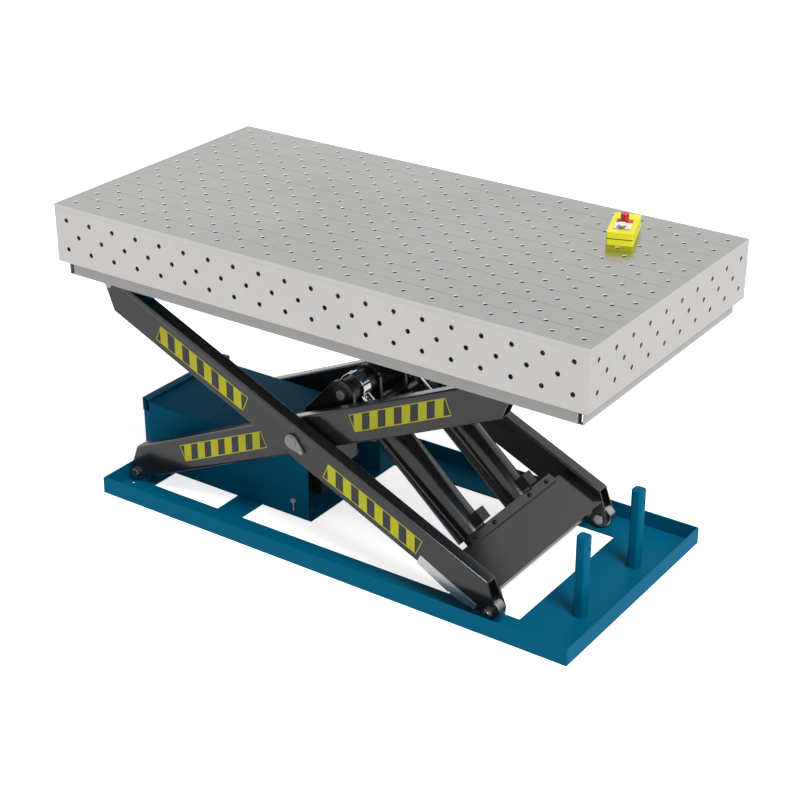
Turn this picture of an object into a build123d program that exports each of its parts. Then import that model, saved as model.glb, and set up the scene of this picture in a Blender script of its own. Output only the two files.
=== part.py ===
from build123d import *
import math
import os

os.makedirs("parts", exist_ok=True)

# Height adjustable welding table: a perforated steel table box on a hydraulic scissor lift.
# X runs along the table, Y across it and Z up; the origin is on the floor under the centre.

# Size of the table top, and how far the base tray stands back from it all round
table_length = 2000.0
table_width = 1000.0
base_setback = 60.0
base_length = table_length - 2 * base_setback
base_width = table_width - 2 * base_setback

# Running clearance on a radius, and the gap where two flat faces pass each other
fit_gap = 0.05
side_gap = 1.0

# Scissor lift: length between the pins of an arm, pin height over the floor, rise in this pose
link_length = 1690.0
hinge_inset = 50.0
hinge_x = -base_length / 2 + hinge_inset
pin_z = 44.0
link_rise = 749.0
tube_tilt = 2.2

# Arm tubes with slanted open ends, in two pairs side by side
tube_depth = 120.0
tube_width = 50.0
tube_wall = 6.0
tube_corner = 7.0
outer_arm_inset = 85.0
arm_spacing = 59.0
outer_arm_y = base_width / 2 - outer_arm_inset
inner_arm_y = outer_arm_y - arm_spacing
inner_inside = inner_arm_y - tube_width / 2
slot_length = 44.0

# Cross pins of the arm ends
pin_d = 20.0
pin_head_af = 30.0
pin_head_t = 13.0
pin_disc_d = 34.0
pin_disc_t = 7.0
pin_tail = 4.0

# Centre pins with their keeper flags
centre_pin_d = 40.0
centre_pin_end = 2.0
bush_wall = 5.0
thrust_ring_d = 72.0
flag_r = 26.0
flag_tip_r = 9.0
flag_reach = 47.0
flag_drop = 6.0
flag_t = 7.0
keeper_d = 8.0
keeper_head_d = 13.0
keeper_head_t = 5.0

# Rollers and the lugs that the arms are hinged to
floor_gap = 0.3
lug_r = 22.0
lug_foot = 56.0
lug_sole = 6.0

# Base tray: a cut plate with a lip all round
base_t = 6.0
lip_height = 60.0
lip_t = 6.0
anchor_d = 14.0
anchor_inset = 42.0
anchor_x = base_length / 2 - anchor_inset
anchor_pitch = 664.0

# Rest posts for the lowest position
post_side = 40.0
post_bevel = 8.0
post_inset = 102.0
post_x = base_length / 2 - post_inset
post_y = 178.0
post_top = 294.0
post_hole_d = 12.0
post_hole_drop = 42.0

# Cover of the power unit, with the raised hood at its left end
cover_inset = 8.0
cover_length = 710.0
cover_front_room = 81.0
cover_rear_room = 36.0
cover_left = -base_length / 2 + cover_inset
cover_right = cover_left + cover_length
cover_front = -inner_inside + cover_front_room
cover_rear = inner_inside - cover_rear_room
cover_top = 254.0
cover_t = 3.0
cover_bend = 8.0
hood_reach = 20.0
hood_left = cover_left - hood_reach
hood_width = 32.0
hood_lap = 12.0
hood_top = 275.0
hood_height = 50.0
latch_d = 18.0
latch_t = 9.0
latch_inset = 63.0
latch_z = 63.0

# Windows in the tray: a wide one beside and in front of the cover, a small one at its left
window_lap = 12.0
window_width = 2 * (inner_arm_y + window_lap)
window_tongue = 203.0
window_left = cover_right - window_tongue
window_right_land = 143.0
window_right = post_x - window_right_land
small_window_inset = 107.0
small_window_length = 295.0
small_window_left = cover_left + small_window_inset
small_window_right = small_window_left + small_window_length

# Power unit inside the cover
unit_gap = 10.0
tank_length = 300.0
tank_side_room = 44.5
tank_width = cover_rear - cover_front - 2 * cover_t - 2 * tank_side_room
tank_height = 170.0
tank_corner = 12.0
tank_neck_d = 50.0
tank_neck_h = 14.0
motor_d = 150.0
motor_length = 240.0
motor_foot_h = 20.0
motor_foot_length = 150.0
pump_d = 100.0
pump_length = 60.0
shaft_d = 24.0
shaft_length = 20.0
valve_length = 90.0
valve_room = 14.5
valve_width = (cover_rear - cover_front - motor_d) / 2 - cover_t - unit_gap - valve_room
valve_height = 120.0

# Table box: a perforated top on perforated sides, with ribs inside
table_top = 1087.0
box_height = 200.0
top_t = 15.0
side_t = 12.0
hole_d = 16.0
hole_edge = 50.0
side_hole_z = (937.0, 1037.0)
rib_t = 12.0
cross_rib_x = (125.0, 475.0, 825.0)
long_rib_y = 225.0

# Frame under the box: skirt, rails that the arms carry, and the stop over the rest posts
skirt_inset = 24.0
skirt_height = 49.0
skirt_depth = 12.0
skirt_t = 3.0
skirt_slit = 6.0
rail_lap = 3.0
rail_inner_y = inner_inside - rail_lap
rail_width = 137.0
rail_height = 56.0
rail_wall = 6.0
rail_end_gap = 4.0
stop_width = 60.0
stop_wall = 5.0

# Hydraulic cylinders: foot pin under the outer arms' beam, eye pin over the inner arms
foot_u = 655.0
foot_v = -48.0
eye_lead = 82.521
eye_z = 545.0
cylinder_room = 126.0
cylinder_y = inner_inside - cylinder_room
barrel_d = 110.0
barrel_bore = 90.0
barrel_start = 45.0
barrel_cap_t = 20.0
barrel_length = 435.0
gland_t = 20.0
rod_d = 50.0
piston_t = 40.0
piston_place = 187.7
piston_gap = 0.1
eye_ring_d = 100.0
eye_bore = 51.0
eye_width = 40.0
eye_pin_d = 36.0
eye_pin_head_d = 56.0
foot_eye_r = 30.0
foot_pin_d = 30.0
foot_pin_head_d = 44.0
cylinder_pin_head_t = 5.0
port_side = 44.0
port_place = 78.0
port_top = 97.0

# What carries the cylinders
torque_u = 70.0
torque_v = -12.0
torque_d = 101.6
torque_wall = 8.0
cross_tube_u = 700.0
cross_tube_d = 50.0
cross_tube_wall = 5.0
bracket_t = 12.0
bracket_offset = 74.0
bracket_eye_r = 50.0
bracket_front_reach = 110.0
bracket_front_drop = 105.0
bracket_front_r = 40.0
bracket_heel_reach = 15.0
bracket_heel_drop = 180.0
bracket_heel_r = 48.0
spacer_d = 80.0
spacer_gap = 0.5
foot_lug_t = 12.0
foot_lug_r = 32.0
foot_lug_left = 690.0
foot_lug_right = 800.0
beam_left = 652.0
beam_right = 822.0
beam_bottom = 0.0
beam_top = 30.0
beam_t = 8.0
gusset_t = 6.0
gusset_r = 30.0
strip_left = 630.0
strip_width = 34.0
strip_t = 8.0
strip_end_room = 62.0

# Hand control lying on the table
pendant_inset_x = 334.0
pendant_inset_y = 200.0
pendant_x = table_length / 2 - pendant_inset_x
pendant_y = table_width / 2 - pendant_inset_y
pendant_turn = 20.0
pendant_width = 85.0
pendant_length = 178.0
pendant_corner = 6.0
pendant_wall = 4.0
pendant_base_h = 18.0
gasket_h = 3.0
gasket_inset = 2.0
pendant_cover_h = 21.0
face_width = 52.0
face_bottom = -60.0
face_top = 35.0
face_recess = 1.5
face_t = 1.0
stop_button_y = 12.0
stop_button_d = 26.0
stop_button_h = 24.0
stop_button_lift = 5.0
run_button_y = -42.0
run_button_d = 29.0
run_button_h = 8.0
run_button_lift = 7.0
stem_d = 18.0
stem_depth = 14.0
stem_collar_d = 24.0
stem_collar_t = 3.0
cable_gland_d = 14.0
cable_gland_length = 16.0
cable_hole_d = 8.0

# Places worked out from the sizes above
rest_angle = math.degrees(math.asin(link_rise / link_length))
tube_angle = rest_angle - tube_tilt
centre_x = hinge_x + link_length / 2 * math.cos(math.radians(rest_angle))
centre_z = pin_z + link_rise / 2
eye_x = centre_x + eye_lead
upper_pin_z = pin_z + link_rise
roller_x = hinge_x + link_length * math.cos(math.radians(rest_angle))
pin_u = link_length / 2 * math.cos(math.radians(tube_tilt))
pin_v = link_length / 2 * math.sin(math.radians(tube_tilt))
end_r = tube_depth / 2 - pin_v
box_bottom = table_top - box_height
plate_bottom = table_top - top_t
skirt_bottom = box_bottom - skirt_height
rail_bottom = box_bottom - rail_height
rail_y = rail_inner_y + rail_width / 2
roller_r = pin_z - base_t - floor_gap
roller_width = tube_width - 2 * tube_wall - 2 * side_gap
outer_face = outer_arm_y + tube_width / 2
outer_inside = outer_arm_y - tube_width / 2
inner_face = inner_arm_y + tube_width / 2


def side_plane(y):
    # Upright plane along the table, looking to the rear: X to the right, Z up
    return Plane(origin=(0, y, 0), x_dir=(1, 0, 0), z_dir=(0, -1, 0))


def arm_plane(y, slope):
    # Plane on the centre pin with its first axis along the tubes: slope 1 rises to the right
    angle = math.radians(slope * tube_angle)
    direction = (math.cos(angle), 0, math.sin(angle))
    return Plane(origin=(centre_x, y, centre_z), x_dir=direction, z_dir=(0, -1, 0))


def arm_point(u, v, slope):
    # X and Z of a point given along and across an arm's tubes
    angle = math.radians(slope * tube_angle)
    x = centre_x + u * math.cos(angle) - v * math.sin(angle)
    z = centre_z + u * math.sin(angle) + v * math.cos(angle)
    return x, z


def cross_round(place, y_start, y_end, diameter, mode=Mode.ADD):
    # Round bar across the table, added to the open part or cut out of it
    with Locations((place[0], (y_start + y_end) / 2, place[1])):
        Cylinder(diameter / 2, abs(y_end - y_start), rotation=(90, 0, 0), mode=mode)


def cross_hex(place, y_start, y_end, across_flats):
    # Hexagon bar across the table, added to the open part
    with BuildSketch(side_plane(max(y_start, y_end))) as outline:
        with Locations(place):
            RegularPolygon(across_flats / 2, 6, major_radius=False)
    extrude(outline.sketch, amount=abs(y_end - y_start))


def arm_tube(y, slope, centre_hole_d):
    # One arm: a rounded tube trimmed to its side view, slotted at both ends for lug and roller
    section = Plane(arm_plane(y, slope).origin, x_dir=(0, -1, 0), z_dir=arm_plane(y, slope).x_dir)
    half = tube_depth / 2
    lean = end_r / math.sqrt(2)
    short = pin_u - pin_v + end_r * math.sqrt(2) - half
    outline = [
        (short, -slope * half),
        (pin_u + lean, slope * (pin_v - lean)),
        (pin_u, slope * half),
        (-short, slope * half),
        (-pin_u - lean, -slope * (pin_v - lean)),
        (-pin_u, -slope * half),
    ]
    ends = [(pin_u, slope * pin_v), (-pin_u, -slope * pin_v)]
    with BuildPart() as tube:
        with BuildSketch(section):
            RectangleRounded(tube_width, tube_depth, tube_corner)
            Rectangle(tube_width - 2 * tube_wall, tube_depth - 2 * tube_wall, mode=Mode.SUBTRACT)
        extrude(amount=link_length, both=True)
        with BuildSketch(arm_plane(y + tube_width / 2, slope)):
            Polygon(*outline, align=None)
            with Locations(*ends):
                Circle(end_r)
                Circle(pin_d / 2 + fit_gap, mode=Mode.SUBTRACT)
            Circle(centre_hole_d / 2 + fit_gap, mode=Mode.SUBTRACT)
        extrude(amount=tube_width, mode=Mode.INTERSECT)
        with BuildSketch(arm_plane(y + tube_width / 2 - tube_wall, slope)):
            for end in (1, -1):
                with Locations((end * pin_u, end * slope * half)):
                    Rectangle(2 * slot_length, 2 * end_r, mode=Mode.ADD)
        extrude(amount=tube_width - 2 * tube_wall, mode=Mode.SUBTRACT)
    return tube.part


foot_pin = arm_point(foot_u, foot_v, -1)
eye_pin = (eye_x, eye_z)
stroke_angle = math.atan2(eye_z - foot_pin[1], eye_x - foot_pin[0])
stroke = (math.cos(stroke_angle), 0, math.sin(stroke_angle))
eye_distance = math.hypot(eye_x - foot_pin[0], eye_z - foot_pin[1])
torque_tube_place = arm_point(torque_u, torque_v, 1)
cylinder_sides = (-cylinder_y, cylinder_y)


def cylinder_plane(y, distance):
    # Plane square to a cylinder's stroke, at a distance from its foot pin
    x = foot_pin[0] + distance * stroke[0]
    z = foot_pin[1] + distance * stroke[2]
    return Plane(origin=(x, y, z), x_dir=(0, 1, 0), z_dir=stroke)


# Base tray plate, with the windows that keep it light
with BuildPart() as base_plate:
    with BuildSketch():
        Rectangle(base_length, base_width)
        with Locations((cover_right + unit_gap, 0)):
            Rectangle(window_right - cover_right - unit_gap, window_width,
                      align=(Align.MIN, Align.CENTER), mode=Mode.SUBTRACT)
        with Locations((window_left, -window_width / 2)):
            Rectangle(cover_right + unit_gap - window_left, window_width / 2 + cover_front,
                      align=Align.MIN, mode=Mode.SUBTRACT)
        with Locations((small_window_left, -window_width / 2)):
            Rectangle(small_window_right - small_window_left, window_width / 2 + cover_front,
                      align=Align.MIN, mode=Mode.SUBTRACT)
        with Locations((-anchor_x, -anchor_pitch / 2), (-anchor_x, anchor_pitch / 2)):
            Circle(anchor_d / 2, mode=Mode.SUBTRACT)
    extrude(amount=base_t)
base_plate.part.label = "base_plate"
export_step(base_plate.part, "parts/base_plate.step")

# Long lips, front and rear
with BuildPart() as side_lips:
    with BuildSketch(Plane.XY.offset(base_t)):
        with GridLocations(0, base_width - lip_t, 1, 2):
            Rectangle(base_length, lip_t)
    extrude(amount=lip_height - base_t)
side_lips.part.label = "base_side_lips"
export_step(side_lips.part, "parts/base_side_lips.step")

# Short lips, fitted between the long ones
with BuildPart() as end_lips:
    with BuildSketch(Plane.XY.offset(base_t)):
        with GridLocations(base_length - lip_t, 0, 2, 1):
            Rectangle(lip_t, base_width - 2 * lip_t)
    extrude(amount=lip_height - base_t)
end_lips.part.label = "base_end_lips"
export_step(end_lips.part, "parts/base_end_lips.step")

# Posts that the table stands on when it is fully down
with BuildPart() as rest_posts:
    with BuildSketch(Plane.XY.offset(base_t)) as post_section:
        with Locations((post_x, -post_y)):
            Rectangle(post_side, post_side)
        chamfer(post_section.vertices(), post_bevel)
    extrude(amount=post_top - base_t)
    with Locations((post_x, -post_y, post_top - post_hole_drop)):
        Cylinder(post_hole_d / 2, post_side, rotation=(0, 90, 0), mode=Mode.SUBTRACT)
    mirror(about=Plane.XZ)
rest_posts.part.label = "rest_posts"
export_step(rest_posts.part, "parts/rest_posts.step")

# Hinge lugs welded to the tray, one inside each inner arm
with BuildPart() as lower_lugs:
    with BuildSketch(side_plane(-inner_arm_y + roller_width / 2)) as lug_side:
        with Locations((hinge_x, pin_z)):
            Circle(lug_r)
        with Locations((hinge_x, base_t + lug_sole / 2)):
            Rectangle(lug_foot, lug_sole)
        make_hull()
        with Locations((hinge_x, pin_z)):
            Circle(pin_d / 2 + fit_gap, mode=Mode.SUBTRACT)
    extrude(amount=roller_width)
    mirror(about=Plane.XZ)
lower_lugs.part.label = "lower_hinge_lugs"
export_step(lower_lugs.part, "parts/lower_hinge_lugs.step")

# Folded sheet cover over the power unit, open below
with BuildPart() as cover:
    with BuildSketch(Plane.XY.offset(base_t)):
        with Locations((cover_left, cover_front)):
            Rectangle(cover_right - cover_left, cover_rear - cover_front, align=Align.MIN)
    extrude(amount=cover_top - base_t)
    fillet(cover.edges().filter_by(Axis.Z), cover_bend)
    fillet(cover.faces().sort_by(Axis.Z)[-1].edges(), cover_bend / 2)
    with BuildSketch(Plane.XY.offset(base_t)):
        with Locations(((cover_left + cover_right) / 2, (cover_front + cover_rear) / 2)):
            RectangleRounded(cover_right - cover_left - 2 * cover_t, cover_rear - cover_front - 2 * cover_t,
                             cover_bend - cover_t)
    extrude(amount=cover_top - base_t - cover_t, mode=Mode.SUBTRACT)
cover.part.label = "power_unit_cover"
export_step(cover.part, "parts/power_unit_cover.step")

# Raised hood round the cover's left end: a folded strap over its front, top and rear
with BuildPart() as hood:
    with BuildSketch(Plane.YZ.offset(hood_left)):
        with Locations((cover_front - hood_lap, hood_top - hood_height)):
            Rectangle(cover_rear - cover_front + 2 * hood_lap, hood_height, align=Align.MIN)
    extrude(amount=hood_width)
    with BuildSketch(Plane.YZ.offset(hood_left + cover_t)):
        with Locations((cover_front, hood_top - hood_height)):
            Rectangle(cover_rear - cover_front, cover_top - hood_top + hood_height, align=Align.MIN)
    extrude(amount=hood_width - cover_t, mode=Mode.SUBTRACT)
hood.part.label = "cover_hood"
export_step(hood.part, "parts/cover_hood.step")

# Quarter turn lock of the cover, on its front near the right end
with BuildPart() as latch:
    cross_round((cover_right - latch_inset, latch_z), cover_front - latch_t, cover_front, latch_d)
latch.part.label = "cover_lock"
export_step(latch.part, "parts/cover_lock.step")

# Oil tank with its filler neck
tank_x = cover_left + cover_t + unit_gap
tank_y = (cover_front + cover_rear) / 2
with BuildPart() as tank:
    with BuildSketch(Plane.XY.offset(base_t)):
        with Locations((tank_x + tank_length / 2, tank_y)):
            RectangleRounded(tank_length, tank_width, tank_corner)
    extrude(amount=tank_height)
    with Locations((tank_x + tank_length / 3, tank_y, base_t + tank_height + tank_neck_h / 2)):
        Cylinder(tank_neck_d / 2, tank_neck_h)
tank.part.label = "oil_tank"
export_step(tank.part, "parts/oil_tank.step")

# Electric motor lying beside the tank, then the pump on its shaft and the valve block
motor_x = tank_x + tank_length + unit_gap
motor_z = base_t + motor_foot_h + motor_d / 2
pump_x = motor_x + motor_length + shaft_length
with BuildPart() as motor:
    with Locations((motor_x + motor_length / 2, tank_y, motor_z)):
        Cylinder(motor_d / 2, motor_length, rotation=(0, 90, 0))
    with Locations((motor_x + motor_length / 2, tank_y, base_t + motor_foot_h)):
        Box(motor_foot_length, motor_d, 2 * motor_foot_h)
    with Locations((motor_x + motor_length + shaft_length / 2, tank_y, motor_z)):
        Cylinder(shaft_d / 2, shaft_length, rotation=(0, 90, 0))
motor.part.label = "pump_motor"
export_step(motor.part, "parts/pump_motor.step")

with BuildPart() as pump:
    with Locations((pump_x + pump_length / 2, tank_y, motor_z)):
        Cylinder(pump_d / 2, pump_length, rotation=(0, 90, 0))
    with Locations((pump_x + pump_length / 2, tank_y, (base_t + motor_z) / 2)):
        Box(pump_length, pump_d, motor_z - base_t)
pump.part.label = "oil_pump"
export_step(pump.part, "parts/oil_pump.step")

with BuildPart() as valve:
    with Locations((motor_x + motor_length / 2, tank_y - motor_d / 2 - unit_gap, base_t)):
        Box(valve_length, valve_width, valve_height, align=(Align.CENTER, Align.MAX, Align.MIN))
valve.part.label = "valve_block"
export_step(valve.part, "parts/valve_block.step")

# Arms: the inner pair rises to the right, the outer pair to the left
bush_d = centre_pin_d + 2 * bush_wall
for place, side in (("front", -1), ("rear", 1)):
    with BuildPart() as inner_arm:
        add(arm_tube(side * inner_arm_y, 1, bush_d))
    inner_arm.part.label = "inner_arm_" + place
    export_step(inner_arm.part, "parts/inner_arm_" + place + ".step")
    with BuildPart() as outer_arm:
        add(arm_tube(side * outer_arm_y, -1, centre_pin_d))
    outer_arm.part.label = "outer_arm_" + place
    export_step(outer_arm.part, "parts/outer_arm_" + place + ".step")

# Torque tube between the inner arms, which carries the cylinders' brackets
with BuildPart() as torque_tube:
    cross_round(torque_tube_place, -inner_inside, inner_inside, torque_d)
    cross_round(torque_tube_place, -inner_inside, inner_inside, torque_d - 2 * torque_wall, Mode.SUBTRACT)
torque_tube.part.label = "torque_tube"
export_step(torque_tube.part, "parts/torque_tube.step")

# Cross tube near the inner arms' upper end
cross_tube_place = arm_point(cross_tube_u, 0, 1)
with BuildPart() as cross_tube:
    cross_round(cross_tube_place, -inner_inside, inner_inside, cross_tube_d)
    cross_round(cross_tube_place, -inner_inside, inner_inside, cross_tube_d - 2 * cross_tube_wall,
                Mode.SUBTRACT)
cross_tube.part.label = "inner_cross_tube"
export_step(cross_tube.part, "parts/inner_cross_tube.step")


# Ear plates round the torque tube, two for each cylinder
with BuildPart() as brackets:
    with BuildSketch(side_plane(-cylinder_y + bracket_offset + bracket_t / 2)):
        with Locations(eye_pin):
            Circle(bracket_eye_r)
        with Locations((eye_x - bracket_front_reach, eye_z - bracket_front_drop)):
            Circle(bracket_front_r)
        with Locations((eye_x + bracket_heel_reach, eye_z - bracket_heel_drop)):
            Circle(bracket_heel_r)
        make_hull()
        with Locations(eye_pin):
            Circle(eye_pin_d / 2 + fit_gap, mode=Mode.SUBTRACT)
        with Locations(torque_tube_place):
            Circle(torque_d / 2 + fit_gap, mode=Mode.SUBTRACT)
    extrude(amount=bracket_t)
    mirror(about=side_plane(-cylinder_y))
    mirror(about=Plane.XZ)
brackets.part.label = "cylinder_brackets"
export_step(brackets.part, "parts/cylinder_brackets.step")

# Pins through the ear plates and the rod eyes
eye_pin_end = bracket_offset + bracket_t / 2
with BuildPart() as eye_pins:
    for y in cylinder_sides:
        cross_round(eye_pin, y - eye_pin_end, y + eye_pin_end, eye_pin_d)
        for end in (-1, 1):
            head = y + end * eye_pin_end
            cross_round(eye_pin, head, head + end * cylinder_pin_head_t, eye_pin_head_d)
eye_pins.part.label = "eye_pins"
export_step(eye_pins.part, "parts/eye_pins.step")

# Spacer rings on the eye pins, between rod eye and ear plate
spacer_start = eye_width / 2 + spacer_gap
spacer_end = bracket_offset - bracket_t / 2 - spacer_gap
with BuildPart() as spacers:
    for y in cylinder_sides:
        for end in (-1, 1):
            cross_round(eye_pin, y + end * spacer_start, y + end * spacer_end, spacer_d)
            cross_round(eye_pin, y + end * spacer_start, y + end * spacer_end, eye_pin_d + 2 * fit_gap,
                        Mode.SUBTRACT)
spacers.part.label = "eye_spacers"
export_step(spacers.part, "parts/eye_spacers.step")

# Plain bushes of the centre pins, with the thrust ring between the two arms
centre = (centre_x, centre_z)
with BuildPart() as bushes:
    cross_round(centre, -inner_face, -inner_inside, bush_d)
    cross_round(centre, -outer_inside + floor_gap, -inner_face, thrust_ring_d)
    cross_round(centre, -outer_inside, -inner_inside, centre_pin_d + 2 * fit_gap, Mode.SUBTRACT)
    mirror(about=Plane.XZ)
bushes.part.label = "centre_bushes"
export_step(bushes.part, "parts/centre_bushes.step")

# Hinge bolts of the inner arms in the tray's lugs
lower_hinge = (hinge_x, pin_z)
with BuildPart() as lower_pins:
    cross_round(lower_hinge, -inner_face, -inner_inside + pin_head_t + pin_tail, pin_d)
    cross_hex(lower_hinge, -inner_face - pin_head_t, -inner_face, pin_head_af)
    cross_hex(lower_hinge, -inner_inside, -inner_inside + pin_head_t, pin_head_af)
    mirror(about=Plane.XZ)
lower_pins.part.label = "lower_hinge_pins"
export_step(lower_pins.part, "parts/lower_hinge_pins.step")

# Pins of the upper rollers, in the inner arms
upper_roller = (roller_x, upper_pin_z)
with BuildPart() as upper_roller_pins:
    cross_round(upper_roller, -inner_face, -inner_inside + pin_head_t + pin_tail, pin_d)
    cross_round(upper_roller, -inner_face - pin_disc_t, -inner_face, pin_disc_d)
    cross_hex(upper_roller, -inner_inside, -inner_inside + pin_head_t, pin_head_af)
    mirror(about=Plane.XZ)
upper_roller_pins.part.label = "upper_roller_pins"
export_step(upper_roller_pins.part, "parts/upper_roller_pins.step")

# Channel beam between the outer arms, welded to the gussets
gusset_inside = outer_inside - gusset_t
with BuildPart() as beam:
    with BuildSketch(arm_plane(gusset_inside, -1)):
        with Locations((beam_left, beam_bottom)):
            Rectangle(beam_right - beam_left, beam_top - beam_bottom, align=Align.MIN)
        with Locations((beam_left + beam_t, beam_bottom)):
            Rectangle(beam_right - beam_left - 2 * beam_t, beam_top - beam_bottom - beam_t,
                      align=Align.MIN, mode=Mode.SUBTRACT)
    extrude(amount=2 * gusset_inside)
beam.part.label = "cross_beam"
export_step(beam.part, "parts/cross_beam.step")

# Clamping strip on the beam's upper edge
strip_half = gusset_inside - strip_end_room
with BuildPart() as strip:
    with BuildSketch(arm_plane(strip_half, -1)):
        with Locations((strip_left, beam_top)):
            Rectangle(strip_width, strip_t, align=Align.MIN)
    extrude(amount=2 * strip_half)
strip.part.label = "beam_strip"
export_step(strip.part, "parts/beam_strip.step")

# Gussets from the beam to the lower roller pins
with BuildPart() as gussets:
    with BuildSketch(arm_plane(-gusset_inside, -1)):
        with Locations((pin_u, -pin_v)):
            Circle(gusset_r)
        with Locations((beam_left, beam_bottom)):
            Rectangle(beam_right - beam_left, beam_top - beam_bottom, align=Align.MIN)
        make_hull()
        with Locations((pin_u, -pin_v)):
            Circle(pin_d / 2 + fit_gap, mode=Mode.SUBTRACT)
    extrude(amount=gusset_t)
    mirror(about=Plane.XZ)
gussets.part.label = "roller_gussets"
export_step(gussets.part, "parts/roller_gussets.step")

# Lugs under the beam for the cylinders' foot pins, two for each cylinder
foot_lug_offset = eye_width / 2 + side_gap
with BuildPart() as foot_lugs:
    with BuildSketch(arm_plane(-cylinder_y - foot_lug_offset, -1)):
        with Locations((foot_u, foot_v)):
            Circle(foot_lug_r)
        with Locations((foot_lug_left, beam_top - beam_t)):
            Rectangle(foot_lug_right - foot_lug_left, side_gap, align=(Align.MIN, Align.MAX))
        make_hull()
        with Locations((foot_u, foot_v)):
            Circle(foot_pin_d / 2 + fit_gap, mode=Mode.SUBTRACT)
    extrude(amount=foot_lug_t)
    mirror(about=side_plane(-cylinder_y))
    mirror(about=Plane.XZ)
foot_lugs.part.label = "foot_lugs"
export_step(foot_lugs.part, "parts/foot_lugs.step")

# Foot pins of the cylinders
foot_pin_end = foot_lug_offset + foot_lug_t
with BuildPart() as foot_pins:
    for y in cylinder_sides:
        cross_round(foot_pin, y - foot_pin_end, y + foot_pin_end, foot_pin_d)
        for end in (-1, 1):
            head = y + end * foot_pin_end
            cross_round(foot_pin, head, head + end * cylinder_pin_head_t, foot_pin_head_d)
foot_pins.part.label = "foot_pins"
export_step(foot_pins.part, "parts/foot_pins.step")

# Centre pins: a flag on the outer end keeps each pin from turning in its outer arm
flag_back = outer_face + side_gap
with BuildPart() as centre_pins:
    cross_round(centre, -flag_back - flag_t - centre_pin_end, -inner_inside - floor_gap, centre_pin_d)
    with BuildSketch(arm_plane(-flag_back, -1)):
        Circle(flag_r)
        with Locations((flag_reach, -flag_drop)):
            Circle(flag_tip_r)
        make_hull()
        with Locations((flag_reach, -flag_drop)):
            Circle(keeper_d / 2 + fit_gap, mode=Mode.SUBTRACT)
    extrude(amount=flag_t)
    mirror(about=Plane.XZ)
centre_pins.part.label = "centre_pins"
export_step(centre_pins.part, "parts/centre_pins.step")

# Keeper bolts through the flags, threaded into the arms' walls
keeper = arm_point(flag_reach, -flag_drop, -1)
with BuildPart() as keepers:
    cross_round(keeper, -flag_back - flag_t, -outer_face, keeper_d)
    cross_hex(keeper, -flag_back - flag_t - keeper_head_t, -flag_back - flag_t, keeper_head_d)
    mirror(about=Plane.XZ)
keepers.part.label = "keeper_bolts"
export_step(keepers.part, "parts/keeper_bolts.step")

# Pins of the lower rollers, in the outer arms
lower_roller = (roller_x, pin_z)
with BuildPart() as lower_roller_pins:
    cross_round(lower_roller, -outer_face - pin_head_t - pin_tail, -gusset_inside, pin_d)
    cross_round(lower_roller, -gusset_inside, -gusset_inside + pin_disc_t, pin_disc_d)
    cross_hex(lower_roller, -outer_face - pin_head_t, -outer_face, pin_head_af)
    mirror(about=Plane.XZ)
lower_roller_pins.part.label = "lower_roller_pins"
export_step(lower_roller_pins.part, "parts/lower_roller_pins.step")

# Hinge bolts of the outer arms in the table's lugs
upper_hinge = (hinge_x, upper_pin_z)
with BuildPart() as upper_pins:
    cross_round(upper_hinge, -outer_face, -outer_inside + pin_head_t + pin_tail, pin_d)
    cross_hex(upper_hinge, -outer_face - pin_head_t, -outer_face, pin_head_af)
    cross_hex(upper_hinge, -outer_inside, -outer_inside + pin_head_t, pin_head_af)
    mirror(about=Plane.XZ)
upper_pins.part.label = "upper_hinge_pins"
export_step(upper_pins.part, "parts/upper_hinge_pins.step")

# Rollers: the lower ones run on the tray, the upper ones under the table's rails
rollers = (
    ("lower_roller_front", lower_roller, -outer_arm_y),
    ("lower_roller_rear", lower_roller, outer_arm_y),
    ("upper_roller_front", upper_roller, -inner_arm_y),
    ("upper_roller_rear", upper_roller, inner_arm_y),
)
for name, place, y in rollers:
    with BuildPart() as roller:
        cross_round(place, y - roller_width / 2, y + roller_width / 2, 2 * roller_r)
        cross_round(place, y - roller_width / 2, y + roller_width / 2, pin_d + 2 * fit_gap, Mode.SUBTRACT)
    roller.part.label = name
    export_step(roller.part, "parts/" + name + ".step")

# Cylinder barrels: seamless tube from the welded foot to the gland
cap_end = barrel_start + barrel_cap_t
barrel_end = barrel_start + barrel_length
with BuildPart() as barrels:
    for y in cylinder_sides:
        with BuildSketch(cylinder_plane(y, cap_end)):
            Circle(barrel_d / 2)
            Circle(barrel_bore / 2, mode=Mode.SUBTRACT)
        extrude(amount=barrel_end - cap_end)
barrels.part.label = "cylinder_barrels"
export_step(barrels.part, "parts/cylinder_barrels.step")

# Closed feet of the barrels, with the eye for the foot pin
with BuildPart() as feet:
    for y in cylinder_sides:
        with BuildSketch(cylinder_plane(y, barrel_start)):
            Circle(barrel_d / 2)
        extrude(amount=barrel_cap_t)
        with BuildSketch(cylinder_plane(y, 0)):
            Rectangle(eye_width, 2 * foot_eye_r)
        extrude(amount=barrel_start)
        cross_round(foot_pin, y - eye_width / 2, y + eye_width / 2, 2 * foot_eye_r)
        cross_round(foot_pin, y - eye_width / 2, y + eye_width / 2, foot_pin_d + 2 * fit_gap, Mode.SUBTRACT)
feet.part.label = "cylinder_feet"
export_step(feet.part, "parts/cylinder_feet.step")

# Glands that guide the rods
with BuildPart() as glands:
    for y in cylinder_sides:
        with BuildSketch(cylinder_plane(y, barrel_end)):
            Circle(barrel_d / 2)
            Circle(rod_d / 2 + fit_gap, mode=Mode.SUBTRACT)
        extrude(amount=gland_t)
glands.part.label = "cylinder_glands"
export_step(glands.part, "parts/cylinder_glands.step")

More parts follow.
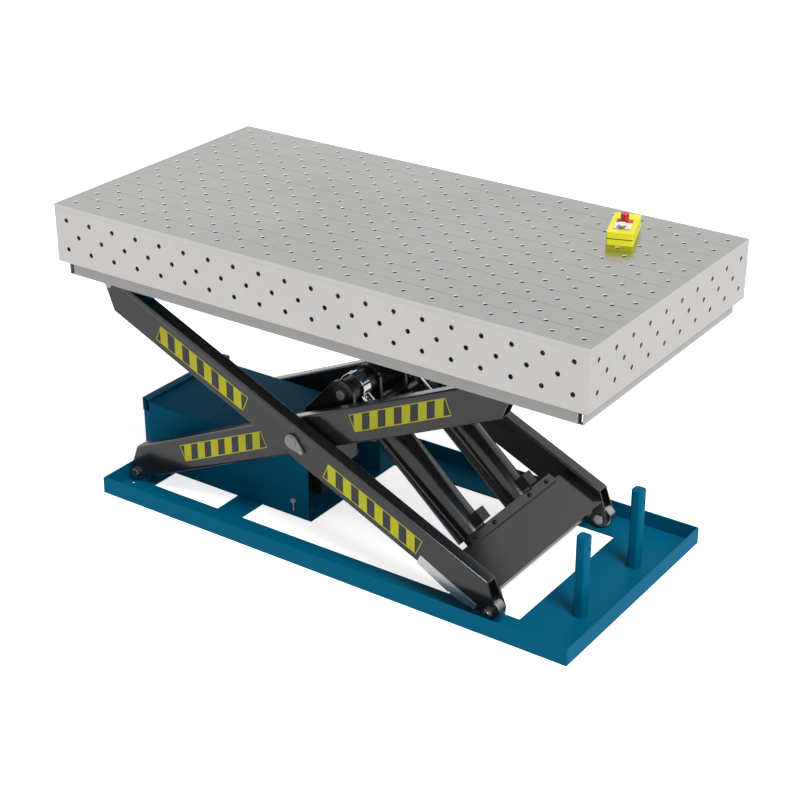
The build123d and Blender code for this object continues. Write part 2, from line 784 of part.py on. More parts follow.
# Oil ports on the barrels, near the foot
with BuildPart() as ports:
    for y in cylinder_sides:
        with BuildSketch(cylinder_plane(y, port_place - port_side / 2)):
            with Locations((0, -port_top / 2)):
                Rectangle(port_side, port_top)
            Circle(barrel_d / 2, mode=Mode.SUBTRACT)
        extrude(amount=port_side)
ports.part.label = "port_blocks"
export_step(ports.part, "parts/port_blocks.step")

# Piston rods, hollowed at the end to seat on the round eye
with BuildPart() as rods:
    for y in cylinder_sides:
        with BuildSketch(cylinder_plane(y, piston_place - piston_t / 2)):
            Circle(rod_d / 2)
        extrude(amount=eye_distance - piston_place + piston_t / 2)
        cross_round(eye_pin, y - eye_ring_d, y + eye_ring_d, eye_ring_d, Mode.SUBTRACT)
rods.part.label = "piston_rods"
export_step(rods.part, "parts/piston_rods.step")

# Pistons
with BuildPart() as pistons:
    for y in cylinder_sides:
        with BuildSketch(cylinder_plane(y, piston_place - piston_t / 2)):
            Circle(barrel_bore / 2 - piston_gap)
            Circle(rod_d / 2 + fit_gap, mode=Mode.SUBTRACT)
        extrude(amount=piston_t)
pistons.part.label = "pistons"
export_step(pistons.part, "parts/pistons.step")

# Rod eyes: chromed rings with play on the eye pin
with BuildPart() as eyes:
    for y in cylinder_sides:
        cross_round(eye_pin, y - eye_width / 2, y + eye_width / 2, eye_ring_d)
        cross_round(eye_pin, y - eye_width / 2, y + eye_width / 2, eye_bore, Mode.SUBTRACT)
eyes.part.label = "rod_eyes"
export_step(eyes.part, "parts/rod_eyes.step")

# Table top, with the corner and centre holes of its pattern
corner_x = table_length / 2 - hole_edge
corner_y = table_width / 2 - hole_edge
with BuildPart() as top:
    with BuildSketch(Plane.XY.offset(plate_bottom)):
        Rectangle(table_length, table_width)
        Circle(hole_d / 2, mode=Mode.SUBTRACT)
        with GridLocations(2 * corner_x, 2 * corner_y, 2, 2):
            Circle(hole_d / 2, mode=Mode.SUBTRACT)
    extrude(amount=top_t)
top.part.label = "top_plate"
export_step(top.part, "parts/top_plate.step")

# Side plates and the end plates between them, with the end holes of their rows
side_plate_h = plate_bottom - box_bottom
with BuildPart() as side_plates:
    with BuildSketch(side_plane(table_width / 2)):
        with Locations((0, box_bottom + side_plate_h / 2)):
            Rectangle(table_length, side_plate_h)
        for z in side_hole_z:
            with Locations((-corner_x, z), (corner_x, z)):
                Circle(hole_d / 2, mode=Mode.SUBTRACT)
    extrude(amount=side_t)
    mirror(about=Plane.XZ)
side_plates.part.label = "side_plates"
export_step(side_plates.part, "parts/side_plates.step")

with BuildPart() as end_plates:
    with BuildSketch(Plane.YZ.offset(table_length / 2 - side_t)):
        with Locations((0, box_bottom + side_plate_h / 2)):
            Rectangle(table_width - 2 * side_t, side_plate_h)
        for z in side_hole_z:
            with Locations((-corner_y, z), (corner_y, z)):
                Circle(hole_d / 2, mode=Mode.SUBTRACT)
    extrude(amount=side_t)
    mirror(about=Plane.YZ)
end_plates.part.label = "end_plates"
export_step(end_plates.part, "parts/end_plates.step")

# Ribs under the top, all as deep as the box: across it, then along it between them
with BuildPart() as cross_ribs:
    with BuildSketch(Plane.XY.offset(box_bottom)):
        for x in cross_rib_x:
            with Locations((-x, 0), (x, 0)):
                Rectangle(rib_t, table_width - 2 * side_t)
    extrude(amount=side_plate_h)
cross_ribs.part.label = "cross_ribs"
export_step(cross_ribs.part, "parts/cross_ribs.step")

rib_stops = [-table_length / 2 + side_t]
for x in sorted([-x for x in cross_rib_x] + list(cross_rib_x)):
    rib_stops.append(x - rib_t / 2)
    rib_stops.append(x + rib_t / 2)
rib_stops.append(table_length / 2 - side_t)
with BuildPart() as long_ribs:
    with BuildSketch(Plane.XY.offset(box_bottom)):
        for start, end in zip(rib_stops[0::2], rib_stops[1::2]):
            with Locations((start, -long_rib_y), (start, long_rib_y)):
                Rectangle(end - start, rib_t, align=(Align.MIN, Align.CENTER))
    extrude(amount=side_plate_h)
long_ribs.part.label = "long_ribs"
export_step(long_ribs.part, "parts/long_ribs.step")

# Skirt of light channels, open to the inside, with a slit at each corner
skirt_x = table_length / 2 - skirt_inset
skirt_y = table_width / 2 - skirt_inset
with BuildPart() as skirts:
    with BuildSketch(Plane.YZ.offset(-skirt_x + skirt_depth + skirt_slit)):
        with Locations((-skirt_y, skirt_bottom)):
            Rectangle(skirt_depth, skirt_height, align=Align.MIN)
        with Locations((-skirt_y + skirt_t, skirt_bottom + skirt_t)):
            Rectangle(skirt_depth - skirt_t, skirt_height - 2 * skirt_t, align=Align.MIN, mode=Mode.SUBTRACT)
    extrude(amount=2 * (skirt_x - skirt_depth - skirt_slit))
    mirror(about=Plane.XZ)
    with BuildSketch(side_plane(skirt_y)):
        for end in (-1, 1):
            with Locations((end * (skirt_x - skirt_depth / 2), skirt_bottom + skirt_height / 2)):
                Rectangle(skirt_depth, skirt_height)
            with Locations((end * (skirt_x - skirt_t - skirt_depth / 2), skirt_bottom + skirt_height / 2)):
                Rectangle(skirt_depth, skirt_height - 2 * skirt_t, mode=Mode.SUBTRACT)
    extrude(amount=2 * skirt_y)
skirts.part.label = "box_skirts"
export_step(skirts.part, "parts/box_skirts.step")

# Rails that the upper rollers run under
rail_half = skirt_x - skirt_depth - rail_end_gap
with BuildPart() as rails:
    with BuildSketch(Plane.YZ.offset(-rail_half)):
        with Locations((-rail_y, rail_bottom + rail_height / 2)):
            Rectangle(rail_width, rail_height)
            Rectangle(rail_width - 2 * rail_wall, rail_height - 2 * rail_wall, mode=Mode.SUBTRACT)
    extrude(amount=2 * rail_half)
    mirror(about=Plane.XZ)
rails.part.label = "table_rails"
export_step(rails.part, "parts/table_rails.step")

# Stop between the rails that comes down on the rest posts
with BuildPart() as stop:
    with BuildSketch(side_plane(rail_inner_y)):
        with Locations((post_x, skirt_bottom + skirt_height / 2)):
            Rectangle(stop_width, skirt_height)
            Rectangle(stop_width - 2 * stop_wall, skirt_height - 2 * stop_wall, mode=Mode.SUBTRACT)
    extrude(amount=2 * rail_inner_y)
stop.part.label = "stop_beam"
export_step(stop.part, "parts/stop_beam.step")

# Hinge lugs under the rails, one inside each outer arm
with BuildPart() as upper_lugs:
    with BuildSketch(side_plane(-outer_arm_y + roller_width / 2)):
        with Locations(upper_hinge):
            Circle(lug_r)
        with Locations((hinge_x, rail_bottom - lug_sole / 2)):
            Rectangle(lug_foot, lug_sole)
        make_hull()
        with Locations(upper_hinge):
            Circle(pin_d / 2 + fit_gap, mode=Mode.SUBTRACT)
    extrude(amount=roller_width)
    mirror(about=Plane.XZ)
upper_lugs.part.label = "upper_hinge_lugs"
export_step(upper_lugs.part, "parts/upper_hinge_lugs.step")


def pendant_plane(height):
    # Level plane of the hand control, at a height over the table top
    turn = math.radians(pendant_turn)
    direction = (math.cos(turn), math.sin(turn), 0)
    return Plane(origin=(pendant_x, pendant_y, table_top + height), x_dir=direction, z_dir=(0, 0, 1))


cover_start = pendant_base_h + gasket_h
face_z = cover_start + pendant_cover_h - face_recess
pocket_width = pendant_width - 2 * pendant_wall
pocket_length = pendant_length - 2 * pendant_wall
face_length = face_top - face_bottom
face_centre = (0, (face_top + face_bottom) / 2)
stem_centres = ((0, stop_button_y), (0, run_button_y))
stem_hole_r = stem_d / 2 + fit_gap

# Lower shell of the hand control
with BuildPart() as pendant_base:
    with BuildSketch(pendant_plane(0)):
        RectangleRounded(pendant_width, pendant_length, pendant_corner)
    extrude(amount=pendant_base_h)
    with BuildSketch(pendant_plane(pendant_wall)):
        Rectangle(pocket_width, pocket_length)
    extrude(amount=pendant_base_h, mode=Mode.SUBTRACT)
pendant_base.part.label = "pendant_base"
export_step(pendant_base.part, "parts/pendant_base.step")

# Gasket between the shells
with BuildPart() as gasket:
    with BuildSketch(pendant_plane(pendant_base_h)):
        RectangleRounded(pendant_width - 2 * gasket_inset, pendant_length - 2 * gasket_inset,
                         pendant_corner - gasket_inset)
        Rectangle(pocket_width, pocket_length, mode=Mode.SUBTRACT)
    extrude(amount=gasket_h)
gasket.part.label = "pendant_gasket"
export_step(gasket.part, "parts/pendant_gasket.step")

# Upper shell, recessed for the face plate and bored for the buttons' stems
with BuildPart() as pendant_cover:
    with BuildSketch(pendant_plane(cover_start)):
        RectangleRounded(pendant_width, pendant_length, pendant_corner)
    extrude(amount=pendant_cover_h)
    with BuildSketch(pendant_plane(cover_start)):
        Rectangle(pocket_width, pocket_length)
    extrude(amount=pendant_cover_h - pendant_wall - face_recess, mode=Mode.SUBTRACT)
    with BuildSketch(pendant_plane(face_z)):
        with Locations(face_centre):
            Rectangle(face_width, face_length)
    extrude(amount=face_recess, mode=Mode.SUBTRACT)
    with BuildSketch(pendant_plane(cover_start)):
        with Locations(*stem_centres):
            Circle(stem_hole_r)
    extrude(amount=pendant_cover_h, mode=Mode.SUBTRACT)
pendant_cover.part.label = "pendant_cover"
export_step(pendant_cover.part, "parts/pendant_cover.step")

# Face plate in the recess
with BuildPart() as face:
    with BuildSketch(pendant_plane(face_z)):
        with Locations(face_centre):
            Rectangle(face_width, face_length)
        with Locations(*stem_centres):
            Circle(stem_hole_r, mode=Mode.SUBTRACT)
    extrude(amount=face_t)
face.part.label = "pendant_face"
export_step(face.part, "parts/pendant_face.step")

# Cable gland in the far end of the lower shell
turn = math.radians(pendant_turn)
gland_y = pendant_length / 2
gland_x = pendant_x - gland_y * math.sin(turn)
gland_place = (gland_x, pendant_y + gland_y * math.cos(turn), table_top + pendant_base_h / 2)
gland_plane = Plane(origin=gland_place, x_dir=(0, 0, 1), z_dir=(-math.sin(turn), math.cos(turn), 0))
with BuildPart() as cable_gland:
    with BuildSketch(gland_plane):
        Circle(cable_gland_d / 2)
        Circle(cable_hole_d / 2, mode=Mode.SUBTRACT)
    extrude(amount=cable_gland_length)
cable_gland.part.label = "pendant_gland"
export_step(cable_gland.part, "parts/pendant_gland.step")

# Push buttons: a cap over the face, its stem, and a collar under the cover that keeps it in
buttons = (
    ("stop_button", stop_button_y, stop_button_d, stop_button_h, stop_button_lift),
    ("run_button", run_button_y, run_button_d, run_button_h, run_button_lift),
)
for name, y, cap_d, cap_h, lift in buttons:
    with BuildPart() as button:
        with BuildSketch(pendant_plane(face_z + face_t + lift)):
            with Locations((0, y)):
                Circle(cap_d / 2)
        extrude(amount=cap_h)
        with BuildSketch(pendant_plane(face_z - stem_depth)):
            with Locations((0, y)):
                Circle(stem_d / 2)
        extrude(amount=stem_depth + face_t + lift)
        with BuildSketch(pendant_plane(face_z - pendant_wall - floor_gap)):
            with Locations((0, y)):
                Circle(stem_collar_d / 2)
        extrude(amount=-stem_collar_t)
    button.part.label = name
    export_step(button.part, "parts/" + name + ".step")
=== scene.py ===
import math

import bmesh
import bpy
from mathutils import Matrix, Vector


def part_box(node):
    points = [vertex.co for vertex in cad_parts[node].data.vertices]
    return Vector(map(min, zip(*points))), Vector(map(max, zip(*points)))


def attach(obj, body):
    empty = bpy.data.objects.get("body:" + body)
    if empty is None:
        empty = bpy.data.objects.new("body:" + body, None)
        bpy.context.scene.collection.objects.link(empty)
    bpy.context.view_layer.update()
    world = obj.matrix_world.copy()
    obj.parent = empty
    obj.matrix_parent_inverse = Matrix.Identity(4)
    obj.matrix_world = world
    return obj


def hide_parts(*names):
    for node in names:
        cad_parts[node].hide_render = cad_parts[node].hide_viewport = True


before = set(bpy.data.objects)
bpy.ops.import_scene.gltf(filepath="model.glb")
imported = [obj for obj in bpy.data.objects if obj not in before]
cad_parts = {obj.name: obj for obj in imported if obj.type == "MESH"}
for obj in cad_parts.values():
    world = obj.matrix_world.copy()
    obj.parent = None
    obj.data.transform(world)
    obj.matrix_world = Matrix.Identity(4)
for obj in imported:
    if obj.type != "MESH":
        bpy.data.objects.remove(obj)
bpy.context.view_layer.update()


# Base tray: a 6 mm cut plate with an upright lip welded all round, two posts that the table
# rests on when it is down, and a hinge lug for each inner arm. Sheet steel with broken edges,
# sprayed in satin teal enamel, which gives a soft even sheen with a very fine orange peel.
def linear(code):
    """sRGB hex colour, such as "#b4b4b2", as a linear colour with alpha."""
    channels = [int(code[i:i + 2], 16) / 255 for i in (1, 3, 5)]
    return [c / 12.92 if c <= 0.04045 else ((c + 0.055) / 1.055) ** 2.4 for c in channels] + [1.0]


def darker(color, share):
    """The colour with only a share of its light left."""
    return [c * share for c in linear(color)[:3]] + [1.0]


def add_node(tree, kind, inputs=(), **settings):
    """One shader node with its settings, its sockets set to values or linked to other nodes."""
    node = tree.nodes.new(kind)
    for name, value in settings.items():
        setattr(node, name, value)
    for socket, value in dict(inputs).items():
        if isinstance(value, bpy.types.NodeSocket):
            tree.links.new(value, node.inputs[socket])
        else:
            node.inputs[socket].default_value = value
    return node


def start_material(name, roughness, metallic=0.0):
    """A new material, with its surface shader and the object coordinates that patterns read."""
    material = bpy.data.materials.new(name)
    material.use_nodes = True
    tree = material.node_tree
    surface = tree.nodes["Principled BSDF"]
    surface.inputs["Roughness"].default_value = roughness
    surface.inputs["Metallic"].default_value = metallic
    place = add_node(tree, "ShaderNodeTexCoord").outputs["Object"]
    return material, tree, surface, place


def satin_paint(name, color, roughness, gloss=0.5, shade=0.07):
    """Sprayed enamel: an even sheen over a cloudy change of shade, 200 mm wide, and an orange
    peel of 2.5 mm, drawn coarser than the real one so that it shows."""
    peel = 0.0025
    material, tree, surface, place = start_material(name, roughness)
    surface.inputs["Specular IOR Level"].default_value = gloss
    clouds = add_node(tree, "ShaderNodeTexNoise", {"Vector": place, "Scale": 5.0, "Detail": 3.0})
    tint = add_node(tree, "ShaderNodeMix", {0: clouds.outputs[0], 6: darker(color, 1 - shade),
                                            7: linear(color)}, data_type="RGBA")
    tree.links.new(tint.outputs[2], surface.inputs["Base Color"])
    skin = add_node(tree, "ShaderNodeTexNoise", {"Vector": place, "Scale": 1 / peel, "Detail": 1.0})
    rough = add_node(tree, "ShaderNodeMapRange", {0: clouds.outputs[0], 1: 0.3, 2: 0.7,
                                                  3: roughness * 0.9, 4: roughness * 1.1})
    tree.links.new(rough.outputs[0], surface.inputs["Roughness"])
    relief = add_node(tree, "ShaderNodeBump", {"Strength": 0.1, "Distance": 0.0003,
                                               "Height": skin.outputs[0]})
    tree.links.new(relief.outputs[0], surface.inputs["Normal"])
    return material


def finish_piece(name, mesh, materials, body, nodes=(), smooth=20):
    """Makes the mesh a piece that rides on its body and stands for the nodes it replaces."""
    data = bpy.data.meshes.new(name)
    mesh.to_mesh(data)
    mesh.free()
    data.shade_smooth()
    data.set_sharp_from_angle(angle=math.radians(smooth))
    piece = bpy.data.objects.new(name, data)
    bpy.context.collection.objects.link(piece)
    for each in materials if isinstance(materials, (list, tuple)) else [materials]:
        data.materials.append(each)
    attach(piece, body)
    if nodes:
        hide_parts(*nodes)
    return piece


def break_edges(mesh, offset):
    """Rounds every sharp edge of a piece, as a file or the paint leaves it."""
    sharp = [e for e in mesh.edges if e.is_manifold and e.calc_face_angle() > math.radians(40)]
    bmesh.ops.bevel(mesh, geom=sharp, offset=offset, segments=2, profile=0.5, affect="EDGES",
                    clamp_overlap=True, material=-1)


def dressed(node, body, material, edge=0.001):
    """A merged copy of a node in its finish, with its edges broken by the given amount."""
    mesh = bmesh.new()
    mesh.from_mesh(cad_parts[node].data)
    bmesh.ops.remove_doubles(mesh, verts=mesh.verts, dist=1e-5)
    bmesh.ops.dissolve_limit(mesh, angle_limit=math.radians(0.5), verts=mesh.verts, edges=mesh.edges)
    if edge:
        break_edges(mesh, edge)
    for face in mesh.faces:
        face.material_index = 0
    return finish_piece(node + "_finish", mesh, material, body, (node,))


teal_enamel = satin_paint("teal_enamel", "#006486", 0.5, gloss=0.04)
for node in ("base_plate", "base_side_lips", "base_end_lips", "rest_posts", "lower_hinge_lugs"):
    dressed(node, "base", teal_enamel, edge=0.0012)


# Power unit under the cover: a moulded oil tank, a cast motor with its pump and a milled valve
# block, bolted to the tray. They show only through the cover's open end and from below.
def cast_metal(name, color, roughness, metallic):
    """Cast or machined metal, also the painted highlight and painted shade in the table's holes: a
    dull skin with 1.5 mm grit, coarser than real so that it shows.
    """
    material, tree, surface, place = start_material(name, roughness, metallic)
    grit = add_node(tree, "ShaderNodeTexNoise", {"Vector": place, "Scale": 650.0, "Detail": 2.0})
    tint = add_node(tree, "ShaderNodeMix", {0: grit.outputs[0], 6: darker(color, 0.8),
                                            7: linear(color)}, data_type="RGBA")
    tree.links.new(tint.outputs[2], surface.inputs["Base Color"])
    relief = add_node(tree, "ShaderNodeBump", {"Strength": 0.3, "Distance": 0.0005,
                                               "Height": grit.outputs[0]})
    tree.links.new(relief.outputs[0], surface.inputs["Normal"])
    return material


def moulded(name, color, roughness, grain=0.0012):
    """Moulded plastic or rubber: a soft sheen broken by spark eroded grain, drawn coarser than
    the real one so that it shows, over a faint change of shade."""
    material, tree, surface, place = start_material(name, roughness)
    clouds = add_node(tree, "ShaderNodeTexNoise", {"Vector": place, "Scale": 14.0, "Detail": 2.0})
    tint = add_node(tree, "ShaderNodeMix", {0: clouds.outputs[0], 6: darker(color, 0.94),
                                            7: linear(color)}, data_type="RGBA")
    tree.links.new(tint.outputs[2], surface.inputs["Base Color"])
    skin = add_node(tree, "ShaderNodeTexNoise", {"Vector": place, "Scale": 1 / grain, "Detail": 1.0})
    rough = add_node(tree, "ShaderNodeMapRange", {0: skin.outputs[0], 1: 0.3, 2: 0.7,
                                                  3: roughness * 0.9, 4: roughness * 1.15})
    tree.links.new(rough.outputs[0], surface.inputs["Roughness"])
    relief = add_node(tree, "ShaderNodeBump", {"Strength": 0.4, "Distance": 0.00005,
                                               "Height": skin.outputs[0]})
    tree.links.new(relief.outputs[0], surface.inputs["Normal"])
    return material


dressed("oil_tank", "base", moulded("moulded_polyethylene", "#d9d9cc", 0.5), edge=0.003)
dressed("pump_motor", "base", cast_metal("cast_aluminium", "#9a9c9e", 0.45, 1.0))
dressed("oil_pump", "base", cast_metal("cast_iron", "#353535", 0.6, 0.0))
dressed("valve_block", "base", cast_metal("milled_aluminium", "#b0b2b4", 0.35, 1.0))


# Cover of the power unit: 3 mm sheet steel folded over front, top and rear, open below and at its
# right end. Its left end flares out 12 mm to a collar with a welded end sheet, and a folded
# channel is welded over that as a hood. Sprayed in the tray's teal.
def folded_sheet(mesh, sections, thickness):
    """A sheet that runs through U-shaped sections, each (x, front, rear, bottom, top, bend)."""
    bend_steps = 6
    rings = []
    for x, front, rear, bottom, top, bend in sections:
        outside, inside = [(front, bottom)], [(front + thickness, bottom)]
        for middle_y, start in ((front + bend, 180), (rear - bend, 90)):
            for step in range(bend_steps + 1):
                turn = math.radians(start - 90 / bend_steps * step)
                for side, radius in ((outside, bend), (inside, bend - thickness)):
                    side.append((middle_y + radius * math.cos(turn), top - bend + radius * math.sin(turn)))
        outside.append((rear, bottom))
        inside.append((rear - thickness, bottom))
        rings.append([mesh.verts.new((x, y, z)) for y, z in outside + inside[::-1]])
    for near, far in zip(rings, rings[1:]):
        for i, corner in enumerate(near):
            mesh.faces.new((corner, near[(i + 1) % len(near)], far[(i + 1) % len(far)], far[i]))
    half = len(rings[0]) // 2
    for ring in (rings[0], rings[-1]):
        for i in range(half - 1):
            mesh.faces.new((ring[i], ring[i + 1], ring[-2 - i], ring[-1 - i]))


def add_block(mesh, low, high):
    """A block between two corners, with sharp edges unless the piece it goes into is bevelled."""
    block = bmesh.ops.create_cube(mesh, size=1)["verts"]
    low, high = Vector(low), Vector(high)
    bmesh.ops.scale(mesh, vec=high - low, verts=block)
    bmesh.ops.translate(mesh, vec=(low + high) / 2, verts=block)


def verts_of(geometry):
    """Only the vertices of what an operator returns."""
    return [g for g in geometry if isinstance(g, bmesh.types.BMVert)]


def extruded(mesh, outline, reach):
    """A plate from a closed outline of points, as thick as its reach; returns its vertices."""
    near = [mesh.verts.new(point) for point in outline]
    far = verts_of(bmesh.ops.extrude_face_region(mesh, geom=[mesh.faces.new(near)])["geom"])
    bmesh.ops.translate(mesh, vec=reach, verts=far)
    return near + far


cover_low, cover_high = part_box("power_unit_cover")
hood_low, hood_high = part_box("cover_hood")
sheet, flare = 0.003, 0.012
collar_x, main_x = -0.922, -0.872
collar_bend, main_bend = 0.01, 0.008
rim_x = hood_low.x + 0.004
collar_side_top, collar_end_top = 0.226, 0.262
collar_front, collar_rear = cover_low.y - flare, cover_high.y + flare
mesh = bmesh.new()
folded_sheet(mesh, [
    (collar_x, collar_front, collar_rear, cover_low.z, cover_high.z + flare, collar_bend),
    (main_x, cover_low.y, cover_high.y, cover_low.z, cover_high.z, main_bend),
    (cover_high.x, cover_low.y, cover_high.y, cover_low.z, cover_high.z, main_bend)], sheet)
for y in (collar_front, collar_rear - sheet):
    add_block(mesh, (rim_x, y, cover_low.z), (collar_x, y + sheet, collar_side_top))
add_block(mesh, (rim_x, collar_front + sheet, cover_low.z),
          (rim_x + sheet, collar_rear - sheet, collar_end_top))
bmesh.ops.recalc_face_normals(mesh, faces=mesh.faces)
finish_piece("cover_sheet", mesh, teal_enamel, "base", ("power_unit_cover",))
hood_width, hood_leg, hood_lip = 0.032, 0.05, 0.013
profile = ((0, -hood_leg), (0, 0), (hood_width, 0), (hood_width, -hood_lip),
           (hood_width - sheet, -hood_lip), (hood_width - sheet, -sheet), (sheet, -sheet),
           (sheet, -hood_leg))
mesh = bmesh.new()
extruded(mesh, [(hood_low.x + x, hood_low.y, hood_high.z + z) for x, z in profile],
         (0, hood_high.y - hood_low.y, 0))
bmesh.ops.recalc_face_normals(mesh, faces=mesh.faces)
break_edges(mesh, 0.0008)
finish_piece("hood_channel", mesh, teal_enamel, "base", ("cover_hood",))


# Lock of the cover, a quarter turn stud of moulded grey nylon with a small tag hanging from it,
# and two black rubber hose stubs clipped inside the front sheet at the cover's open end.
def turned(mesh, profile, place, axis, segments=48):
    """Turns a closed profile of (radius, height) points round an axis that starts at a place."""
    old = set(mesh.verts)
    corners = [mesh.verts.new((radius, 0, height)) for radius, height in profile]
    edges = [mesh.edges.new((a, b)) for a, b in zip(corners, corners[1:] + corners[:1])]
    bmesh.ops.spin(mesh, geom=corners + edges, cent=(0, 0, 0), axis=(0, 0, 1), angle=math.tau,
                   steps=segments, use_merge=True)
    new = [v for v in mesh.verts if v not in old]
    bmesh.ops.remove_doubles(mesh, verts=new, dist=1e-6)
    new = [v for v in mesh.verts if v not in old]
    faces = [f for f in mesh.faces if all(v not in old for v in f.verts)]
    bmesh.ops.recalc_face_normals(mesh, faces=faces)
    turn = Vector((0, 0, 1)).rotation_difference(Vector(axis)).to_matrix().to_4x4()
    bmesh.ops.transform(mesh, matrix=Matrix.Translation(place) @ turn, verts=new)


lock_low, lock_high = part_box("cover_lock")
lock_place = Vector(((lock_low.x + lock_high.x) / 2, lock_high.y, (lock_low.z + lock_high.z) / 2))
grey_nylon = moulded("moulded_grey_nylon", "#b9bec2", 0.35)
stud_radius, stud_height, key_radius, key_depth = 0.009, 0.009, 0.003, 0.003
mesh = bmesh.new()
turned(mesh, [(0, 0), (stud_radius, 0), (stud_radius, 0.007), (0.0075, stud_height),
              (key_radius, stud_height), (key_radius, stud_height - key_depth),
              (0, stud_height - key_depth)], lock_place, (0, -1, 0))
finish_piece("cover_lock_body", mesh, grey_nylon, "base", ("cover_lock",))
mesh = bmesh.new()
add_block(mesh, lock_place + Vector((-0.0025, -0.004, -0.040)),
          lock_place + Vector((0.0025, -0.0025, -0.006)))
break_edges(mesh, 0.0006)
finish_piece("lock_tag", mesh, grey_nylon, "base")
black_rubber = moulded("moulded_black_rubber", "#0e0e0f", 0.6)
hose_bore, hose_radius, ferrule_radius, ferrule_length = 0.003, 0.0045, 0.006, 0.02
hose_y = cover_low.y + sheet + 0.0055
mesh = bmesh.new()
for z, reach in ((0.043, 0.018), (0.022, 0.010)):
    turned(mesh, [(hose_bore, 0), (ferrule_radius, 0), (ferrule_radius, ferrule_length),
                  (hose_radius, ferrule_length + 0.001), (hose_radius, ferrule_length - 0.002 + reach),
                  (0.004, ferrule_length + reach), (hose_bore, ferrule_length + reach)],
           (cover_high.x - ferrule_length, hose_y, z), (1, 0, 0), segments=24)
finish_piece("hose_stubs", mesh, black_rubber, "base")


# Inner arms: two rectangular steel tubes with slanted open ends, sprayed in glossy charcoal
# enamel. A thick torque tube, a cross tube and four cut bracket plates are welded between them.
charcoal_enamel = satin_paint("charcoal_enamel", "#1d1d1f", 0.18, gloss=0.68, shade=0.1)
for node in ("inner_arm_front", "inner_arm_rear", "cylinder_brackets"):
    dressed(node, "inner_arms", charcoal_enamel, edge=0.0006)
for node, wall in (("torque_tube", 0.008), ("inner_cross_tube", 0.005)):
    low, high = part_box(node)
    radius = (high.z - low.z) / 2
    length = high.y - low.y
    mesh = bmesh.new()
    turned(mesh, [(radius, 0), (radius, length), (radius - wall, length), (radius - wall, 0)],
           ((low.x + high.x) / 2, low.y, (low.z + high.z) / 2), (0, 1, 0), segments=64)
    finish_piece(node + "_turned", mesh, charcoal_enamel, "inner_arms", (node,))


# Pins, bolts and nuts: turned steel, left bright, so that they mirror softly. The pins at the rod
# eyes have a painted ring round each head and black spacers; the arms' bushes are bronze.
def worked_steel(name, color, roughness, grain=0.0015, cloud=0.1):
    """Turned, ground or plated metal: a soft mirror, duller in places as handled metal is, with a
    grain drawn coarser than the real one so that it shows."""
    material, tree, surface, place = start_material(name, roughness, 1.0)
    marks = add_node(tree, "ShaderNodeTexNoise", {"Vector": place, "Scale": 1 / grain, "Detail": 2.0})
    clouds = add_node(tree, "ShaderNodeTexNoise", {"Vector": place, "Scale": 30.0, "Detail": 3.0})
    tint = add_node(tree, "ShaderNodeMix", {0: clouds.outputs[0], 6: darker(color, 1 - cloud),
                                            7: linear(color)}, data_type="RGBA")
    tree.links.new(tint.outputs[2], surface.inputs["Base Color"])
    rough = add_node(tree, "ShaderNodeMapRange", {0: marks.outputs[0], 1: 0.3, 2: 0.7,
                                                  3: roughness * 0.8, 4: roughness * 1.2})
    tree.links.new(rough.outputs[0], surface.inputs["Roughness"])
    relief = add_node(tree, "ShaderNodeBump", {"Strength": 0.15, "Distance": 0.0001,
                                               "Height": marks.outputs[0]})
    tree.links.new(relief.outputs[0], surface.inputs["Normal"])
    return material


bright_steel = worked_steel("turned_steel", "#a8a8a8", 0.28)
for node, body in (("lower_hinge_pins", "inner_arms"), ("upper_roller_pins", "inner_arms"),
                   ("foot_pins", "outer_arms"), ("keeper_bolts", "outer_arms"),
                   ("lower_roller_pins", "outer_arms"), ("upper_hinge_pins", "outer_arms")):
    dressed(node, body, bright_steel, edge=0.0008)
black_enamel = satin_paint("black_enamel", "#1b1b1b", 0.35)
dressed("eye_spacers", "inner_arms", black_enamel)
cylinder_y = 0.145
eye_low, eye_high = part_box("eye_pins")
eye_x, eye_z = (eye_low.x + eye_high.x) / 2, (eye_low.z + eye_high.z) / 2
eye_pin_length, eye_pin_radius, head_radius, head_height = 0.17, 0.018, 0.028, 0.005
ring_radius, ring_start = 0.0165, 0.0795
half_pin = [(0, 0), (0.015, 0), (0.0155, 0.0008), (0.017, 0.0008), (0.0175, 0),
            (head_radius - 0.001, 0), (head_radius, 0.001), (head_radius, head_height),
            (eye_pin_radius, head_height)]
other_half = [(radius, eye_pin_length - height) for radius, height in half_pin[::-1]]
mesh = bmesh.new()
for y in (eye_low.y, eye_high.y - eye_pin_length):
    turned(mesh, half_pin + other_half, (eye_x, y, eye_z), (0, 1, 0))
for face in mesh.faces:
    middle = face.calc_center_median()
    outside = math.hypot(middle.x - eye_x, middle.z - eye_z) > ring_radius
    face.material_index = int(outside and abs(abs(middle.y) - cylinder_y) > ring_start)
finish_piece("eye_pins_turned", mesh, [bright_steel, charcoal_enamel], "inner_arms", ("eye_pins",))
bearing_bronze = worked_steel("bearing_bronze", "#a58046", 0.3)
dressed("centre_bushes", "inner_arms", bearing_bronze, edge=0)


